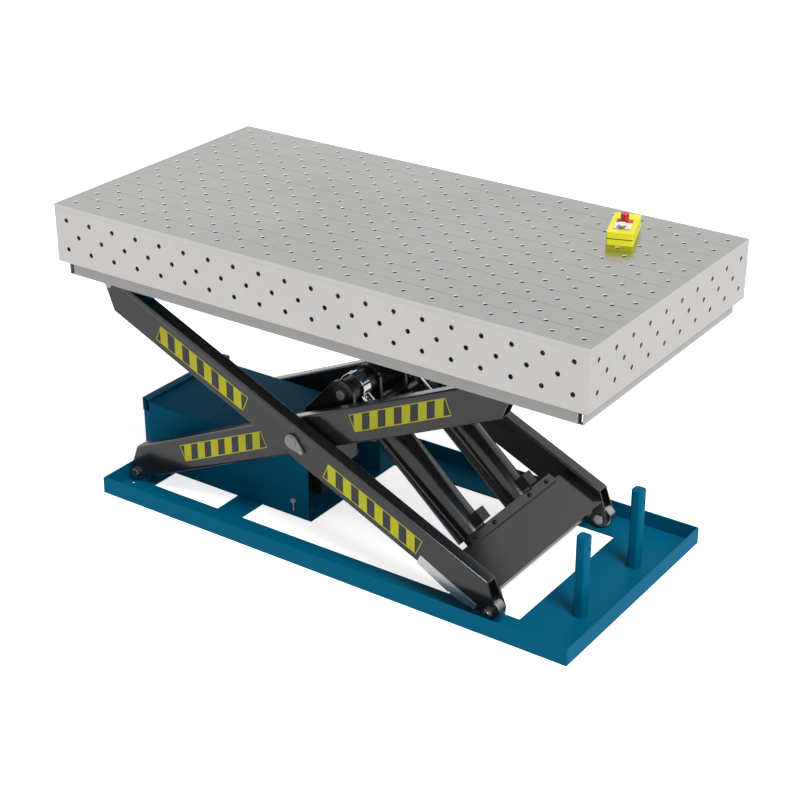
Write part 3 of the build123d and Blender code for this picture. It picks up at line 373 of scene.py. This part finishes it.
# Outer arms: the same tubes, with a folded channel beam, gussets and lugs welded between their
# lower ends. A clamping strip is bolted along the beam's upper edge with four black screws. The
# zinc plated centre pins are drawn 0.3 mm slimmer than their solids, so that they turn freely.
for node in ("outer_arm_front", "outer_arm_rear", "cross_beam", "beam_strip", "roller_gussets",
             "foot_lugs"):
    dressed(node, "outer_arms", charcoal_enamel, edge=0.0006)
zinc_plate = worked_steel("zinc_plated_steel", "#8a8c8a", 0.35)
pins = dressed("centre_pins", "outer_arms", zinc_plate, edge=0.0008)
bush_low, bush_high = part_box("centre_bushes")
centre = ((bush_low.x + bush_high.x) / 2, (bush_low.z + bush_high.z) / 2)
centre_pin_radius, play = 0.020, 0.0003
for vert in pins.data.vertices:
    away = Vector((vert.co.x - centre[0], 0, vert.co.z - centre[1]))
    if abs(away.length - centre_pin_radius) < play:
        vert.co -= away.normalized() * play
tube_angle = math.radians(24.108)


def on_arm(slope, y):
    """Matrix from (along the tubes, across them, outwards) to the place on an arm's outer face."""
    side = 1 if y > 0 else -1
    cos, sin = math.cos(tube_angle), math.sin(tube_angle) * slope
    return Matrix(((cos, -sin, 0, centre[0]), (0, 0, side, y), (sin, cos, 0, centre[1]), (0, 0, 0, 1)))


strip_along, strip_face = 0.647, 0.0375
screw_radius, screw_low, screw_high, socket_radius = 0.0075, 0.0005, 0.0065, 0.003
mesh = bmesh.new()
for y in (-0.219, -0.109, 0.109, 0.219):
    place = on_arm(-1, y)
    turned(mesh, [(socket_radius, 0.004), (socket_radius, screw_low), (screw_radius, screw_low),
                  (screw_radius, screw_high - 0.001), (screw_radius - 0.001, screw_high),
                  (socket_radius + 0.0005, screw_high)],
           place @ Vector((strip_along, strip_face, 0)), place.to_3x3() @ Vector((0, 1, 0)), segments=24)
finish_piece("strip_screws", mesh, black_enamel, "outer_arms")


# Rollers: turned steel wheels that run on the tray and under the rails, with broken corners. Each
# turns on its pin in one of the arms' ends.
bore, corner = 0.01005, 0.0012
for node, body in (("lower_roller_front", "lower_roller_a"), ("lower_roller_rear", "lower_roller_b"),
                   ("upper_roller_front", "upper_roller_a"), ("upper_roller_rear", "upper_roller_b")):
    low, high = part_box(node)
    radius = (high.z - low.z) / 2
    width = high.y - low.y
    mesh = bmesh.new()
    turned(mesh, [(radius - corner, 0), (radius, corner), (radius, width - corner),
                  (radius - corner, width), (bore, width), (bore, 0)],
           ((low.x + high.x) / 2, low.y, (low.z + high.z) / 2), (0, 1, 0), segments=64)
    finish_piece(node + "_turned", mesh, bright_steel, body, (node,))


# Hydraulic cylinders: seamless barrels with a welded foot and a screwed gland, sprayed with the
# arms. Ports, rods and eyes are machined; the rods and eyes are hard chromed and mirror the room.
foot_low, foot_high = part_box("foot_pins")
foot_x, foot_z = (foot_low.x + foot_high.x) / 2, (foot_low.z + foot_high.z) / 2
stroke = Vector((eye_x - foot_x, 0, eye_z - foot_z)).normalized()
stroke_length = math.hypot(eye_x - foot_x, eye_z - foot_z)
barrel_radius, barrel_bore, rod_radius = 0.055, 0.045, 0.025
barrel_start, barrel_end, gland_end, rod_start = 0.065, 0.48, 0.5, 0.2
wiper_radius, wiper_depth = 0.032, 0.003
eye_radius, eye_bore, eye_width, chamfer = 0.05, 0.0255, 0.04, 0.0015
hard_chrome = worked_steel("hard_chrome", "#d2d4d6", 0.1, grain=0.004, cloud=0.03)
barrel_mesh, gland_mesh, rod_mesh, eye_mesh = bmesh.new(), bmesh.new(), bmesh.new(), bmesh.new()
for y in (-cylinder_y, cylinder_y):
    foot = Vector((foot_x, y, foot_z))
    turned(barrel_mesh, [(barrel_radius, barrel_start), (barrel_radius, barrel_end),
                         (barrel_bore, barrel_end), (barrel_bore, barrel_start)],
           foot, stroke, segments=64)
    turned(gland_mesh, [(rod_radius, barrel_end), (barrel_radius, barrel_end),
                        (barrel_radius, gland_end - chamfer), (barrel_radius - chamfer, gland_end),
                        (wiper_radius, gland_end), (wiper_radius, gland_end - wiper_depth),
                        (rod_radius, gland_end - wiper_depth)], foot, stroke, segments=64)
    turned(rod_mesh, [(0, rod_start), (rod_radius, rod_start), (rod_radius, stroke_length - 0.0425),
                      (0, stroke_length - 0.0475)], foot, stroke)
    turned(eye_mesh, [(eye_bore, 0), (eye_radius - chamfer, 0), (eye_radius, chamfer),
                      (eye_radius, eye_width - chamfer), (eye_radius - chamfer, eye_width),
                      (eye_bore, eye_width)],
           Vector((eye_x, y - eye_width / 2, eye_z)), (0, 1, 0), segments=64)
finish_piece("barrel_tubes", barrel_mesh, charcoal_enamel, "barrels", ("cylinder_barrels",))
finish_piece("gland_rings", gland_mesh, charcoal_enamel, "barrels", ("cylinder_glands",))
finish_piece("chromed_rods", rod_mesh, hard_chrome, "rods", ("piston_rods",))
finish_piece("chromed_eyes", eye_mesh, hard_chrome, "rods", ("rod_eyes",))
dressed("cylinder_feet", "barrels", charcoal_enamel)
dressed("port_blocks", "barrels", black_enamel, edge=0.002)
dressed("pistons", "rods", bright_steel, edge=0)


# Frame under the table box: two rail tubes that the upper rollers run under, a stop tube over
# the rest posts, and the hinge lugs of the outer arms. Welded and sprayed in the same teal. A
# grey folded skirt goes round it, with a black rubber seal in the slit at each corner.
for node in ("table_rails", "stop_beam", "upper_hinge_lugs"):
    dressed(node, "table", teal_enamel)
grey_enamel = satin_paint("grey_enamel", "#b4b2b0", 0.35)
dressed("box_skirts", "table", grey_enamel, edge=0.0008)
skirt_low, skirt_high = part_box("box_skirts")
seal_inset, seal_width, seal_depth, recess = 0.0122, 0.0056, 0.011, 0.001
mesh = bmesh.new()
for x in (skirt_low.x + seal_inset, skirt_high.x - seal_inset - seal_width):
    for y in (skirt_low.y + recess, skirt_high.y - recess - seal_depth):
        add_block(mesh, (x, y, skirt_low.z + recess),
                  (x + seal_width, y + seal_depth, skirt_high.z - recess))
break_edges(mesh, 0.0005)
finish_piece("corner_seals", mesh, black_rubber, "table")


# Table box: plates of steel, bored with two crossed grids of 16 mm holes at 100 mm pitch, and
# welded to a box with ribs inside. The outside is ground flat, so the grinding marks run along
# each plate; lines are scribed on the top, and the hole edges are lightly countersunk. In the
# holes of the top, the countersink and the upper 3.6 mm of the wall are painted near white as a
# painted highlight, and the wall below is painted dark grey as painted shade.
def ground_steel(name, color, roughness, scale, streak=0.1, scribed=False):
    """Ground steel: a soft mirror drawn out along the plate by marks 4 mm apart, coarser than real
    so that they show. Scribed lines every 100 mm are drawn in colour: 1.2 mm wide and lighter one
    way, a painted glint in the groove, and 1.8 mm wide and darker the other, painted shade in it."""
    material, tree, surface, place = start_material(name, roughness, 1.0)
    stretch = add_node(tree, "ShaderNodeMapping", {"Vector": place, "Scale": scale})
    marks = add_node(tree, "ShaderNodeTexNoise", {"Vector": stretch.outputs[0], "Scale": 1.0,
                                                  "Detail": 3.0})
    clouds = add_node(tree, "ShaderNodeTexNoise", {"Vector": place, "Scale": 2.5, "Detail": 3.0})
    shade = add_node(tree, "ShaderNodeMath", {0: clouds.outputs[0], 1: marks.outputs[0]},
                     operation="MULTIPLY")
    spread = add_node(tree, "ShaderNodeMapRange", {0: shade.outputs[0], 1: 0.12, 2: 0.38, 3: 0.0, 4: 1.0})
    tint = add_node(tree, "ShaderNodeMix", {0: spread.outputs[0], 6: darker(color, 1 - streak),
                                            7: linear(color)}, data_type="RGBA")
    colour = tint.outputs[2]
    if scribed:
        axes = add_node(tree, "ShaderNodeSeparateXYZ", {0: place})
        # Lines running along y are drawn lighter, a painted glint in the groove; lines running along x are
        # drawn darker, painted shade in the groove.
        for axis, half_width, painted_groove_tone in (("X", 0.0006, "#b6b6b4"), ("Y", 0.0009, "#757574")):
            away = add_node(tree, "ShaderNodeMath", {0: axes.outputs[axis], 1: 0.05}, operation="PINGPONG")
            line = add_node(tree, "ShaderNodeMath", {0: away.outputs[0], 1: half_width},
                            operation="LESS_THAN")
            colour = add_node(tree, "ShaderNodeMix", {0: line.outputs[0], 6: colour, 7: linear(painted_groove_tone)},
                              data_type="RGBA").outputs[2]
    tree.links.new(colour, surface.inputs["Base Color"])
    rough = add_node(tree, "ShaderNodeMapRange", {0: marks.outputs[0], 1: 0.3, 2: 0.7,
                                                  3: roughness * 0.85, 4: roughness * 1.2})
    tree.links.new(rough.outputs[0], surface.inputs["Roughness"])
    relief = add_node(tree, "ShaderNodeBump", {"Strength": 0.05, "Distance": 0.0001,
                                               "Height": marks.outputs[0]})
    tree.links.new(relief.outputs[0], surface.inputs["Normal"])
    return material


countersink = 0.0006


def bored_plate(columns, rows, rectangle, thickness):
    """A plate of 50 mm squares, every other one with a 16 mm hole, out to the given rectangle.
    It lies in XY with its face at z = 0, and the middle square of the pattern on the origin."""
    square, hole_radius, hole_segments = 0.05, 0.008, 16
    mesh = bmesh.new()
    bmesh.ops.create_grid(mesh, x_segments=4, y_segments=4, size=square / 2)
    inside = [v for v in mesh.verts if max(abs(v.co.x), abs(v.co.y)) < square * 0.49]
    bmesh.ops.delete(mesh, geom=inside, context="VERTS")
    ring = bmesh.ops.create_circle(mesh, cap_ends=False, radius=hole_radius,
                                   segments=hole_segments)["verts"]
    bmesh.ops.rotate(mesh, verts=ring, cent=(0, 0, 0), matrix=Matrix.Rotation(math.pi / 4, 3, "Z"))
    bmesh.ops.bridge_loops(mesh, edges=mesh.edges[:])
    bored = mesh.verts[:] + mesh.edges[:] + mesh.faces[:]
    plain = bmesh.ops.create_grid(mesh, x_segments=4, y_segments=4, size=square / 2)["verts"]
    middle = [v for v in plain if max(abs(v.co.x), abs(v.co.y)) < square * 0.49]
    bmesh.ops.dissolve_verts(mesh, verts=middle)
    known = set(bored)
    solid = [g for g in mesh.verts[:] + mesh.edges[:] + mesh.faces[:] if g not in known]
    for column in range(columns):
        for row in range(rows):
            source = bored if (column + row) % 2 == 0 else solid
            copy = bmesh.ops.duplicate(mesh, geom=source)["geom"]
            shift = ((column - (columns - 1) / 2) * square, (row - (rows - 1) / 2) * square, 0)
            bmesh.ops.translate(mesh, vec=shift, verts=verts_of(copy))
    bmesh.ops.delete(mesh, geom=verts_of(bored + solid), context="VERTS")
    bmesh.ops.remove_doubles(mesh, verts=mesh.verts, dist=1e-5)
    half_x, half_y = columns * square / 2, rows * square / 2
    rim = [e for e in mesh.edges if e.is_boundary and
           max(max(abs(v.co.x) - half_x, abs(v.co.y) - half_y) for v in e.verts) > -1e-5]
    rim = [e for e in rim if all(abs(v.co.x) > half_x - 1e-5 or abs(v.co.y) > half_y - 1e-5
                                 for v in e.verts)]
    left, right, front, rear = rectangle
    for vert in verts_of(bmesh.ops.extrude_edge_only(mesh, edges=rim)["geom"]):
        x, y = vert.co.x, vert.co.y
        if abs(x) > half_x - 1e-5:
            vert.co.x = right if x > 0 else left
        if abs(y) > half_y - 1e-5:
            vert.co.y = rear if y > 0 else front
    bmesh.ops.recalc_face_normals(mesh, faces=mesh.faces)
    if mesh.faces[0].normal.z < 0:
        bmesh.ops.reverse_faces(mesh, faces=mesh.faces)
    wall = bmesh.ops.extrude_face_region(mesh, geom=mesh.faces[:])["geom"]
    bmesh.ops.translate(mesh, vec=(0, 0, -thickness), verts=verts_of(wall))
    bmesh.ops.recalc_face_normals(mesh, faces=mesh.faces)
    mouths = [e for e in mesh.edges if all(abs(v.co.z) < 1e-6 for v in e.verts) and
              e.is_manifold and e.calc_face_angle() > 1.2]
    bmesh.ops.bevel(mesh, geom=mouths, offset=countersink, segments=1, profile=0.5, affect="EDGES",
                    clamp_overlap=True, material=-1)
    return mesh


top_steel = ground_steel("ground_top_steel", "#adadab", 0.21, (12.0, 250.0, 12.0), scribed=True)
# The upright faces, the top's edge among them, take a copy of the ground steel painted lighter than the
# top, as painted light on the upright faces; its grind runs across them and it is rougher.
upright_steel_painted_lighter = ground_steel("ground_steel_upright_painted_light", "#c9c7c5", 0.34, (12.0, 12.0, 250.0), streak=0.04)
rib_steel = ground_steel("rolled_steel", "#a8a6a4", 0.45, (30.0, 30.0, 250.0))
# Painted highlight and painted shade for the top's holes: near-white steel for the countersink and upper
# wall, dark grey steel for the wall below.
mouth_highlight_steel = cast_metal("hole_mouth_painted_highlight", "#f2f2f0", 0.3, 0.6)
bore_shade_steel = cast_metal("hole_wall_painted_shade", "#343434", 0.5, 0.3)
table_top, half_length, half_width = 1.087, 1.0, 0.5
top_thickness, side_thickness, side_height = 0.015, 0.012, 0.185
# The second value is how far down each hole's wall the painted highlight reaches.
countersink_depth, painted_highlight_depth = 0.0012, 0.0036
mesh = bored_plate(39, 19, (-half_length, half_length, -half_width, half_width), top_thickness)
for vert in mesh.verts:
    if abs(vert.co.z + countersink) < 1e-6:
        vert.co.z = -countersink_depth
bmesh.ops.bisect_plane(mesh, geom=mesh.verts[:] + mesh.edges[:] + mesh.faces[:], dist=1e-6,
                       plane_co=(0, 0, -painted_highlight_depth), plane_no=(0, 0, 1))
# Hole faces in the top 3.6 mm, countersink included, take the near-white painted highlight; the wall below
# takes the dark painted shade.
for face in mesh.faces:
    middle = face.calc_center_median()
    if abs(face.normal.z) > 0.99:
        face.material_index = 0
    # The top's edge faces take the upright steel, painted lighter than the top as painted light.
    elif abs(middle.x) > half_length - 0.001 or abs(middle.y) > half_width - 0.001:
        face.material_index = 1
    else:
        face.material_index = 2 if middle.z > -painted_highlight_depth else 3
bmesh.ops.translate(mesh, vec=(0, 0, table_top), verts=mesh.verts)
finish_piece("bored_top", mesh, [top_steel, upright_steel_painted_lighter, mouth_highlight_steel, bore_shade_steel], "table",
             ("top_plate",), smooth=50)
box_middle = table_top - 0.1
side_top = 0.1 - top_thickness
side_mesh, end_mesh = bmesh.new(), bmesh.new()
for turn in (0, 180):
    for whole, columns, half_run, reach, quarter in (
            (side_mesh, 39, half_length, half_width, 0),
            (end_mesh, 19, half_width - side_thickness, half_length, 90)):
        mesh = bored_plate(columns, 3, (-half_run, half_run, side_top - side_height, side_top),
                           side_thickness)
        place = Matrix.Translation((0, -reach, box_middle)) @ Matrix.Rotation(math.pi / 2, 4, "X")
        spin = Matrix.Rotation(math.radians(turn + quarter), 4, "Z")
        bmesh.ops.transform(mesh, matrix=spin @ place, verts=mesh.verts)
        data = bpy.data.meshes.new("plate")
        mesh.to_mesh(data)
        mesh.free()
        whole.from_mesh(data)
        bpy.data.meshes.remove(data)
finish_piece("bored_sides", side_mesh, upright_steel_painted_lighter, "table", ("side_plates",))
finish_piece("bored_ends", end_mesh, upright_steel_painted_lighter, "table", ("end_plates",))
for node in ("cross_ribs", "long_ribs"):
    dressed(node, "table", rib_steel, edge=0)


# Hazard labels: printed vinyl film stuck on the outer faces of the arms, 400 x 60 mm, yellow with
# gaps that show the arm's colour. The bars stand upright in the lift's working pose.
label_length, label_height, border = 0.4, 0.06, 0.003
bar_pitch, bar_gap, first_bar = 0.0673, 0.0325, 0.0578


def hazard_film(name):
    """Printed vinyl: a matt yellow film, worn in patches, with slanted gaps inside its border, by
    the label's own map."""
    material, tree, surface, place = start_material(name, 0.38)
    surface.inputs["Specular IOR Level"].default_value = 0.25
    spot = add_node(tree, "ShaderNodeSeparateXYZ", {0: add_node(tree, "ShaderNodeTexCoord").outputs["UV"]})
    along, across = spot.outputs["X"], spot.outputs["Y"]
    slanted = add_node(tree, "ShaderNodeMath", {0: across, 1: math.tan(math.radians(24.1)), 2: along},
                       operation="MULTIPLY_ADD")
    start = add_node(tree, "ShaderNodeMath", {0: slanted.outputs[0], 1: first_bar}, operation="SUBTRACT")
    cycle = add_node(tree, "ShaderNodeMath", {0: start.outputs[0], 1: bar_pitch, 2: 0.0},
                     operation="WRAP")
    dark = add_node(tree, "ShaderNodeMath", {0: cycle.outputs[0], 1: bar_gap}, operation="LESS_THAN")
    for way, half in ((along, label_length / 2), (across, label_height / 2)):
        away = add_node(tree, "ShaderNodeMath", {0: way, 1: half}, operation="SUBTRACT")
        away = add_node(tree, "ShaderNodeMath", {0: away.outputs[0]}, operation="ABSOLUTE")
        within = add_node(tree, "ShaderNodeMath", {0: away.outputs[0], 1: half - border},
                          operation="LESS_THAN")
        dark = add_node(tree, "ShaderNodeMath", {0: dark.outputs[0], 1: within.outputs[0]},
                        operation="MULTIPLY")
    wear = add_node(tree, "ShaderNodeTexNoise", {"Vector": place, "Scale": 25.0, "Detail": 3.0})
    yellow = add_node(tree, "ShaderNodeMix", {0: wear.outputs[0], 6: linear("#bab61c"),
                                              7: linear("#c8c422")}, data_type="RGBA")
    printed = add_node(tree, "ShaderNodeMix", {0: dark.outputs[0], 6: yellow.outputs[2],
                                               7: linear("#3a3a3b")}, data_type="RGBA")
    tree.links.new(printed.outputs[2], surface.inputs["Base Color"])
    relief = add_node(tree, "ShaderNodeBump", {"Strength": 0.1, "Distance": 0.0002,
                                               "Height": wear.outputs[0]})
    tree.links.new(relief.outputs[0], surface.inputs["Normal"])
    return material


label_film = hazard_film("hazard_vinyl")
film_thickness, corner_radius, outer_arm_face, inner_arm_face = 0.0004, 0.003, 0.380, 0.321
for body, slope, face_y, middles in (
        ("outer_arms", -1, outer_arm_face, ((-0.4058, -0.006), (0.3475, -0.008))),
        ("inner_arms", 1, inner_arm_face, ((-0.381, 0.0058), (0.4175, 0.008)))):
    mesh = bmesh.new()
    chart = mesh.loops.layers.uv.new("label_map")
    for y in (-face_y, face_y):
        for along, across in middles:
            old = set(mesh.faces)
            grid = bmesh.ops.create_grid(mesh, x_segments=1, y_segments=1, size=0.5,
                                         calc_uvs=False)["verts"]
            bmesh.ops.scale(mesh, vec=(label_length, label_height, 1), verts=grid)
            bmesh.ops.bevel(mesh, geom=grid, offset=corner_radius, segments=3, profile=0.5,
                            affect="VERTICES", clamp_overlap=True, material=-1)
            flat = [f for f in mesh.faces if f not in old]
            film = bmesh.ops.extrude_face_region(mesh, geom=flat)["geom"]
            bmesh.ops.translate(mesh, vec=(0, 0, film_thickness), verts=verts_of(film))
            fresh = [f for f in mesh.faces if f not in old]
            verts = list({w for f in fresh for w in f.verts})
            for face in fresh:
                for loop in face.loops:
                    at = loop.vert.co
                    loop[chart].uv = (at.x + label_length / 2, label_height / 2 - slope * at.y)
            bmesh.ops.translate(mesh, vec=(along, across, 0), verts=verts)
            bmesh.ops.transform(mesh, matrix=on_arm(slope, y), verts=verts)
    bmesh.ops.recalc_face_normals(mesh, faces=mesh.faces)
    finish_piece(body + "_labels", mesh, label_film, body)


# Guide strip on each outer arm: a 2 mm plate of bare polished steel, screwed along the lower edge
# of the arm's outer face just before the roller. It mirrors the floor.
strip_steel = worked_steel("polished_steel", "#d6d6d6", 0.35, grain=0.003, cloud=0.08)
strip_thickness = 0.002
outline = ((0.562, -0.028), (0.562, -0.062), (0.698, -0.0738), (0.698, -0.070), (0.706, -0.070),
           (0.706, -0.0745), (0.730, -0.0745), (0.800, -0.060), (0.800, -0.0405))
mesh = bmesh.new()
for y in (-outer_arm_face, outer_arm_face):
    plate = extruded(mesh, [(along, across, 0) for along, across in outline], (0, 0, strip_thickness))
    bmesh.ops.transform(mesh, matrix=on_arm(-1, y), verts=plate)
bmesh.ops.recalc_face_normals(mesh, faces=mesh.faces)
finish_piece("guide_strips", mesh, strip_steel, "outer_arms")


# Hand control: two moulded yellow shells with a dark rubber gasket between them, a printed plate
# in the lid in grey, white and red fields, and a black gland. It lies on the table's top.
yellow_abs = moulded("moulded_yellow_abs", "#f2ee1c", 0.42)
control = Matrix.Translation((0.666, 0.300, table_top)) @ Matrix.Rotation(math.radians(20), 4, "Z")
dressed("pendant_base", "table", yellow_abs, edge=0.0012)
dressed("pendant_cover", "table", yellow_abs, edge=0.0012)
dressed("pendant_gasket", "table", black_rubber, edge=0)
field_borders = (-0.050, 0.003)
mesh = bmesh.new()
mesh.from_mesh(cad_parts["pendant_face"].data)
bmesh.ops.remove_doubles(mesh, verts=mesh.verts, dist=1e-5)
lengthwise = control.to_3x3() @ Vector((0, 1, 0))
for y in field_borders:
    bmesh.ops.bisect_plane(mesh, geom=mesh.verts[:] + mesh.edges[:] + mesh.faces[:], dist=1e-6,
                           plane_co=control @ Vector((0, y, 0)), plane_no=lengthwise)
from_table = control.inverted()
for face in mesh.faces:
    y = (from_table @ face.calc_center_median()).y
    face.material_index = sum(y >= border_y for border_y in field_borders)
fields = [moulded("printed_grey_film", "#8d8d90", 0.4), moulded("printed_white_film", "#f4f4f0", 0.4),
          moulded("printed_red_film", "#d8281c", 0.4)]
finish_piece("pendant_plate", mesh, fields, "table", ("pendant_face",))
gland_bore, gland_radius, gland_length = 0.004, 0.007, 0.016
mesh = bmesh.new()
turned(mesh, [(gland_bore, 0), (0.0045, 0), (gland_radius, 0.0003), (gland_radius, 0.005),
              (0.006, 0.0056), (0.006, 0.0064), (gland_radius, 0.007), (gland_radius, 0.012),
              (0.0055, gland_length), (gland_bore, gland_length)],
       control @ Vector((0, 0.089, 0.009)), lengthwise, segments=32)
finish_piece("pendant_gland_turned", mesh, black_rubber, "table", ("pendant_gland",))


# Push buttons: a tall red stop cap on a dark stem, and a white cap in a plated ring. Moulded and
# glossy; each slides in the lid on its stem, which a collar under the lid keeps in.
red_abs = moulded("moulded_red_abs", "#c81414", 0.22, grain=0.003)
white_abs = moulded("moulded_white_abs", "#f6f6f6", 0.3, grain=0.003)
plated_brass = worked_steel("nickel_plated_brass", "#a4aaa6", 0.25)
stem_radius, collar_radius, collar_height = 0.009, 0.012, 0.003
collar = [(0, 0), (collar_radius, 0), (collar_radius, collar_height), (stem_radius, collar_height)]
for name, slot, y, cap, stem, cap_start, profile in (
        ("stop_button", "red_plastic", 0.012, red_abs, black_rubber, 0.0199,
         [(stem_radius, 0.020), (0.0115, 0.020), (0.013, 0.0215), (0.013, 0.0425), (0.0115, 0.044),
          (0, 0.044)]),
        ("run_button", "white_plastic", -0.042, white_abs, plated_brass, 0.0269,
         [(stem_radius, 0.0205), (0.0125, 0.0205), (0.013, 0.0215), (0.013, 0.025), (0.0118, 0.0256),
          (0.0118, 0.0268), (0.0145, 0.0272), (0.0145, 0.0288), (0.0135, 0.030), (0, 0.030)])):
    low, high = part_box(name)
    mesh = bmesh.new()
    turned(mesh, collar + profile, control @ Vector((0, y, low.z - table_top)), (0, 0, 1))
    for face in mesh.faces:
        face.material_index = int(face.calc_center_median().z < low.z + cap_start)
    finish_piece(name + "_cap", mesh, [cap, stem], name + "_body", (name,))


# Stage: a plain pale floor, soft lamps, a white surround, and the camera at the height and angle
# that the table is seen from.
mesh = bmesh.new()
bmesh.ops.create_grid(mesh, x_segments=1, y_segments=1, size=14.0)
data = bpy.data.meshes.new("floor")
mesh.to_mesh(data)
mesh.free()
floor = bpy.data.objects.new("floor", data)
bpy.context.collection.objects.link(floor)
floor_paint, tree, surface, place = start_material("pale_floor", 0.9)
surface.inputs["Base Color"].default_value = linear("#ffffff")
path = add_node(tree, "ShaderNodeLightPath")
glow = add_node(tree, "ShaderNodeMath", {0: path.outputs["Is Camera Ray"], 1: 0.7}, operation="MULTIPLY")
surface.inputs["Emission Color"].default_value = (1, 1, 1, 1)
tree.links.new(glow.outputs[0], surface.inputs["Emission Strength"])
data.materials.append(floor_paint)
for name, strength, turn, size in (("key_light", 2.3, (33, 0, 64), 22),
                                   ("side_light", 0.5, (62, 0, 78), 40)):
    lamp = bpy.data.lights.new(name, "SUN")
    lamp.energy = strength
    lamp.angle = math.radians(size)
    light = bpy.data.objects.new(name, lamp)
    light.rotation_euler = [math.radians(angle) for angle in turn]
    bpy.context.collection.objects.link(light)
world = bpy.data.worlds.new("white_room")
bpy.context.scene.world = world
world.use_nodes = True
tree = world.node_tree
tree.nodes.clear()
path = add_node(tree, "ShaderNodeLightPath")
seen = add_node(tree, "ShaderNodeMath", {0: path.outputs["Is Camera Ray"],
                                         1: path.outputs["Is Glossy Ray"]}, operation="MAXIMUM")
seen = add_node(tree, "ShaderNodeMath", {0: seen.outputs[0],
                                         1: path.outputs["Is Transmission Ray"]}, operation="MAXIMUM")
soft = add_node(tree, "ShaderNodeBackground", {"Color": (1, 1, 1, 1), "Strength": 0.35})
white = add_node(tree, "ShaderNodeBackground", {"Color": (1, 1, 1, 1), "Strength": 1.0})
both = add_node(tree, "ShaderNodeMixShader", {0: seen.outputs[0], 1: soft.outputs[0],
                                              2: white.outputs[0]})
add_node(tree, "ShaderNodeOutputWorld", {"Surface": both.outputs[0]})
bpy.context.scene.view_settings.view_transform = "Standard"

lens = bpy.data.cameras.new("photo_camera")
lens.lens = 81.29
lens.sensor_width = 36
camera = bpy.data.objects.new("photo_camera", lens)
camera.location = (3.0973, -4.4294, 3.1256)
camera.rotation_euler = (math.radians(90 - 26.34), 0, math.radians(34.73))
bpy.context.collection.objects.link(camera)
bpy.context.scene.camera = camera
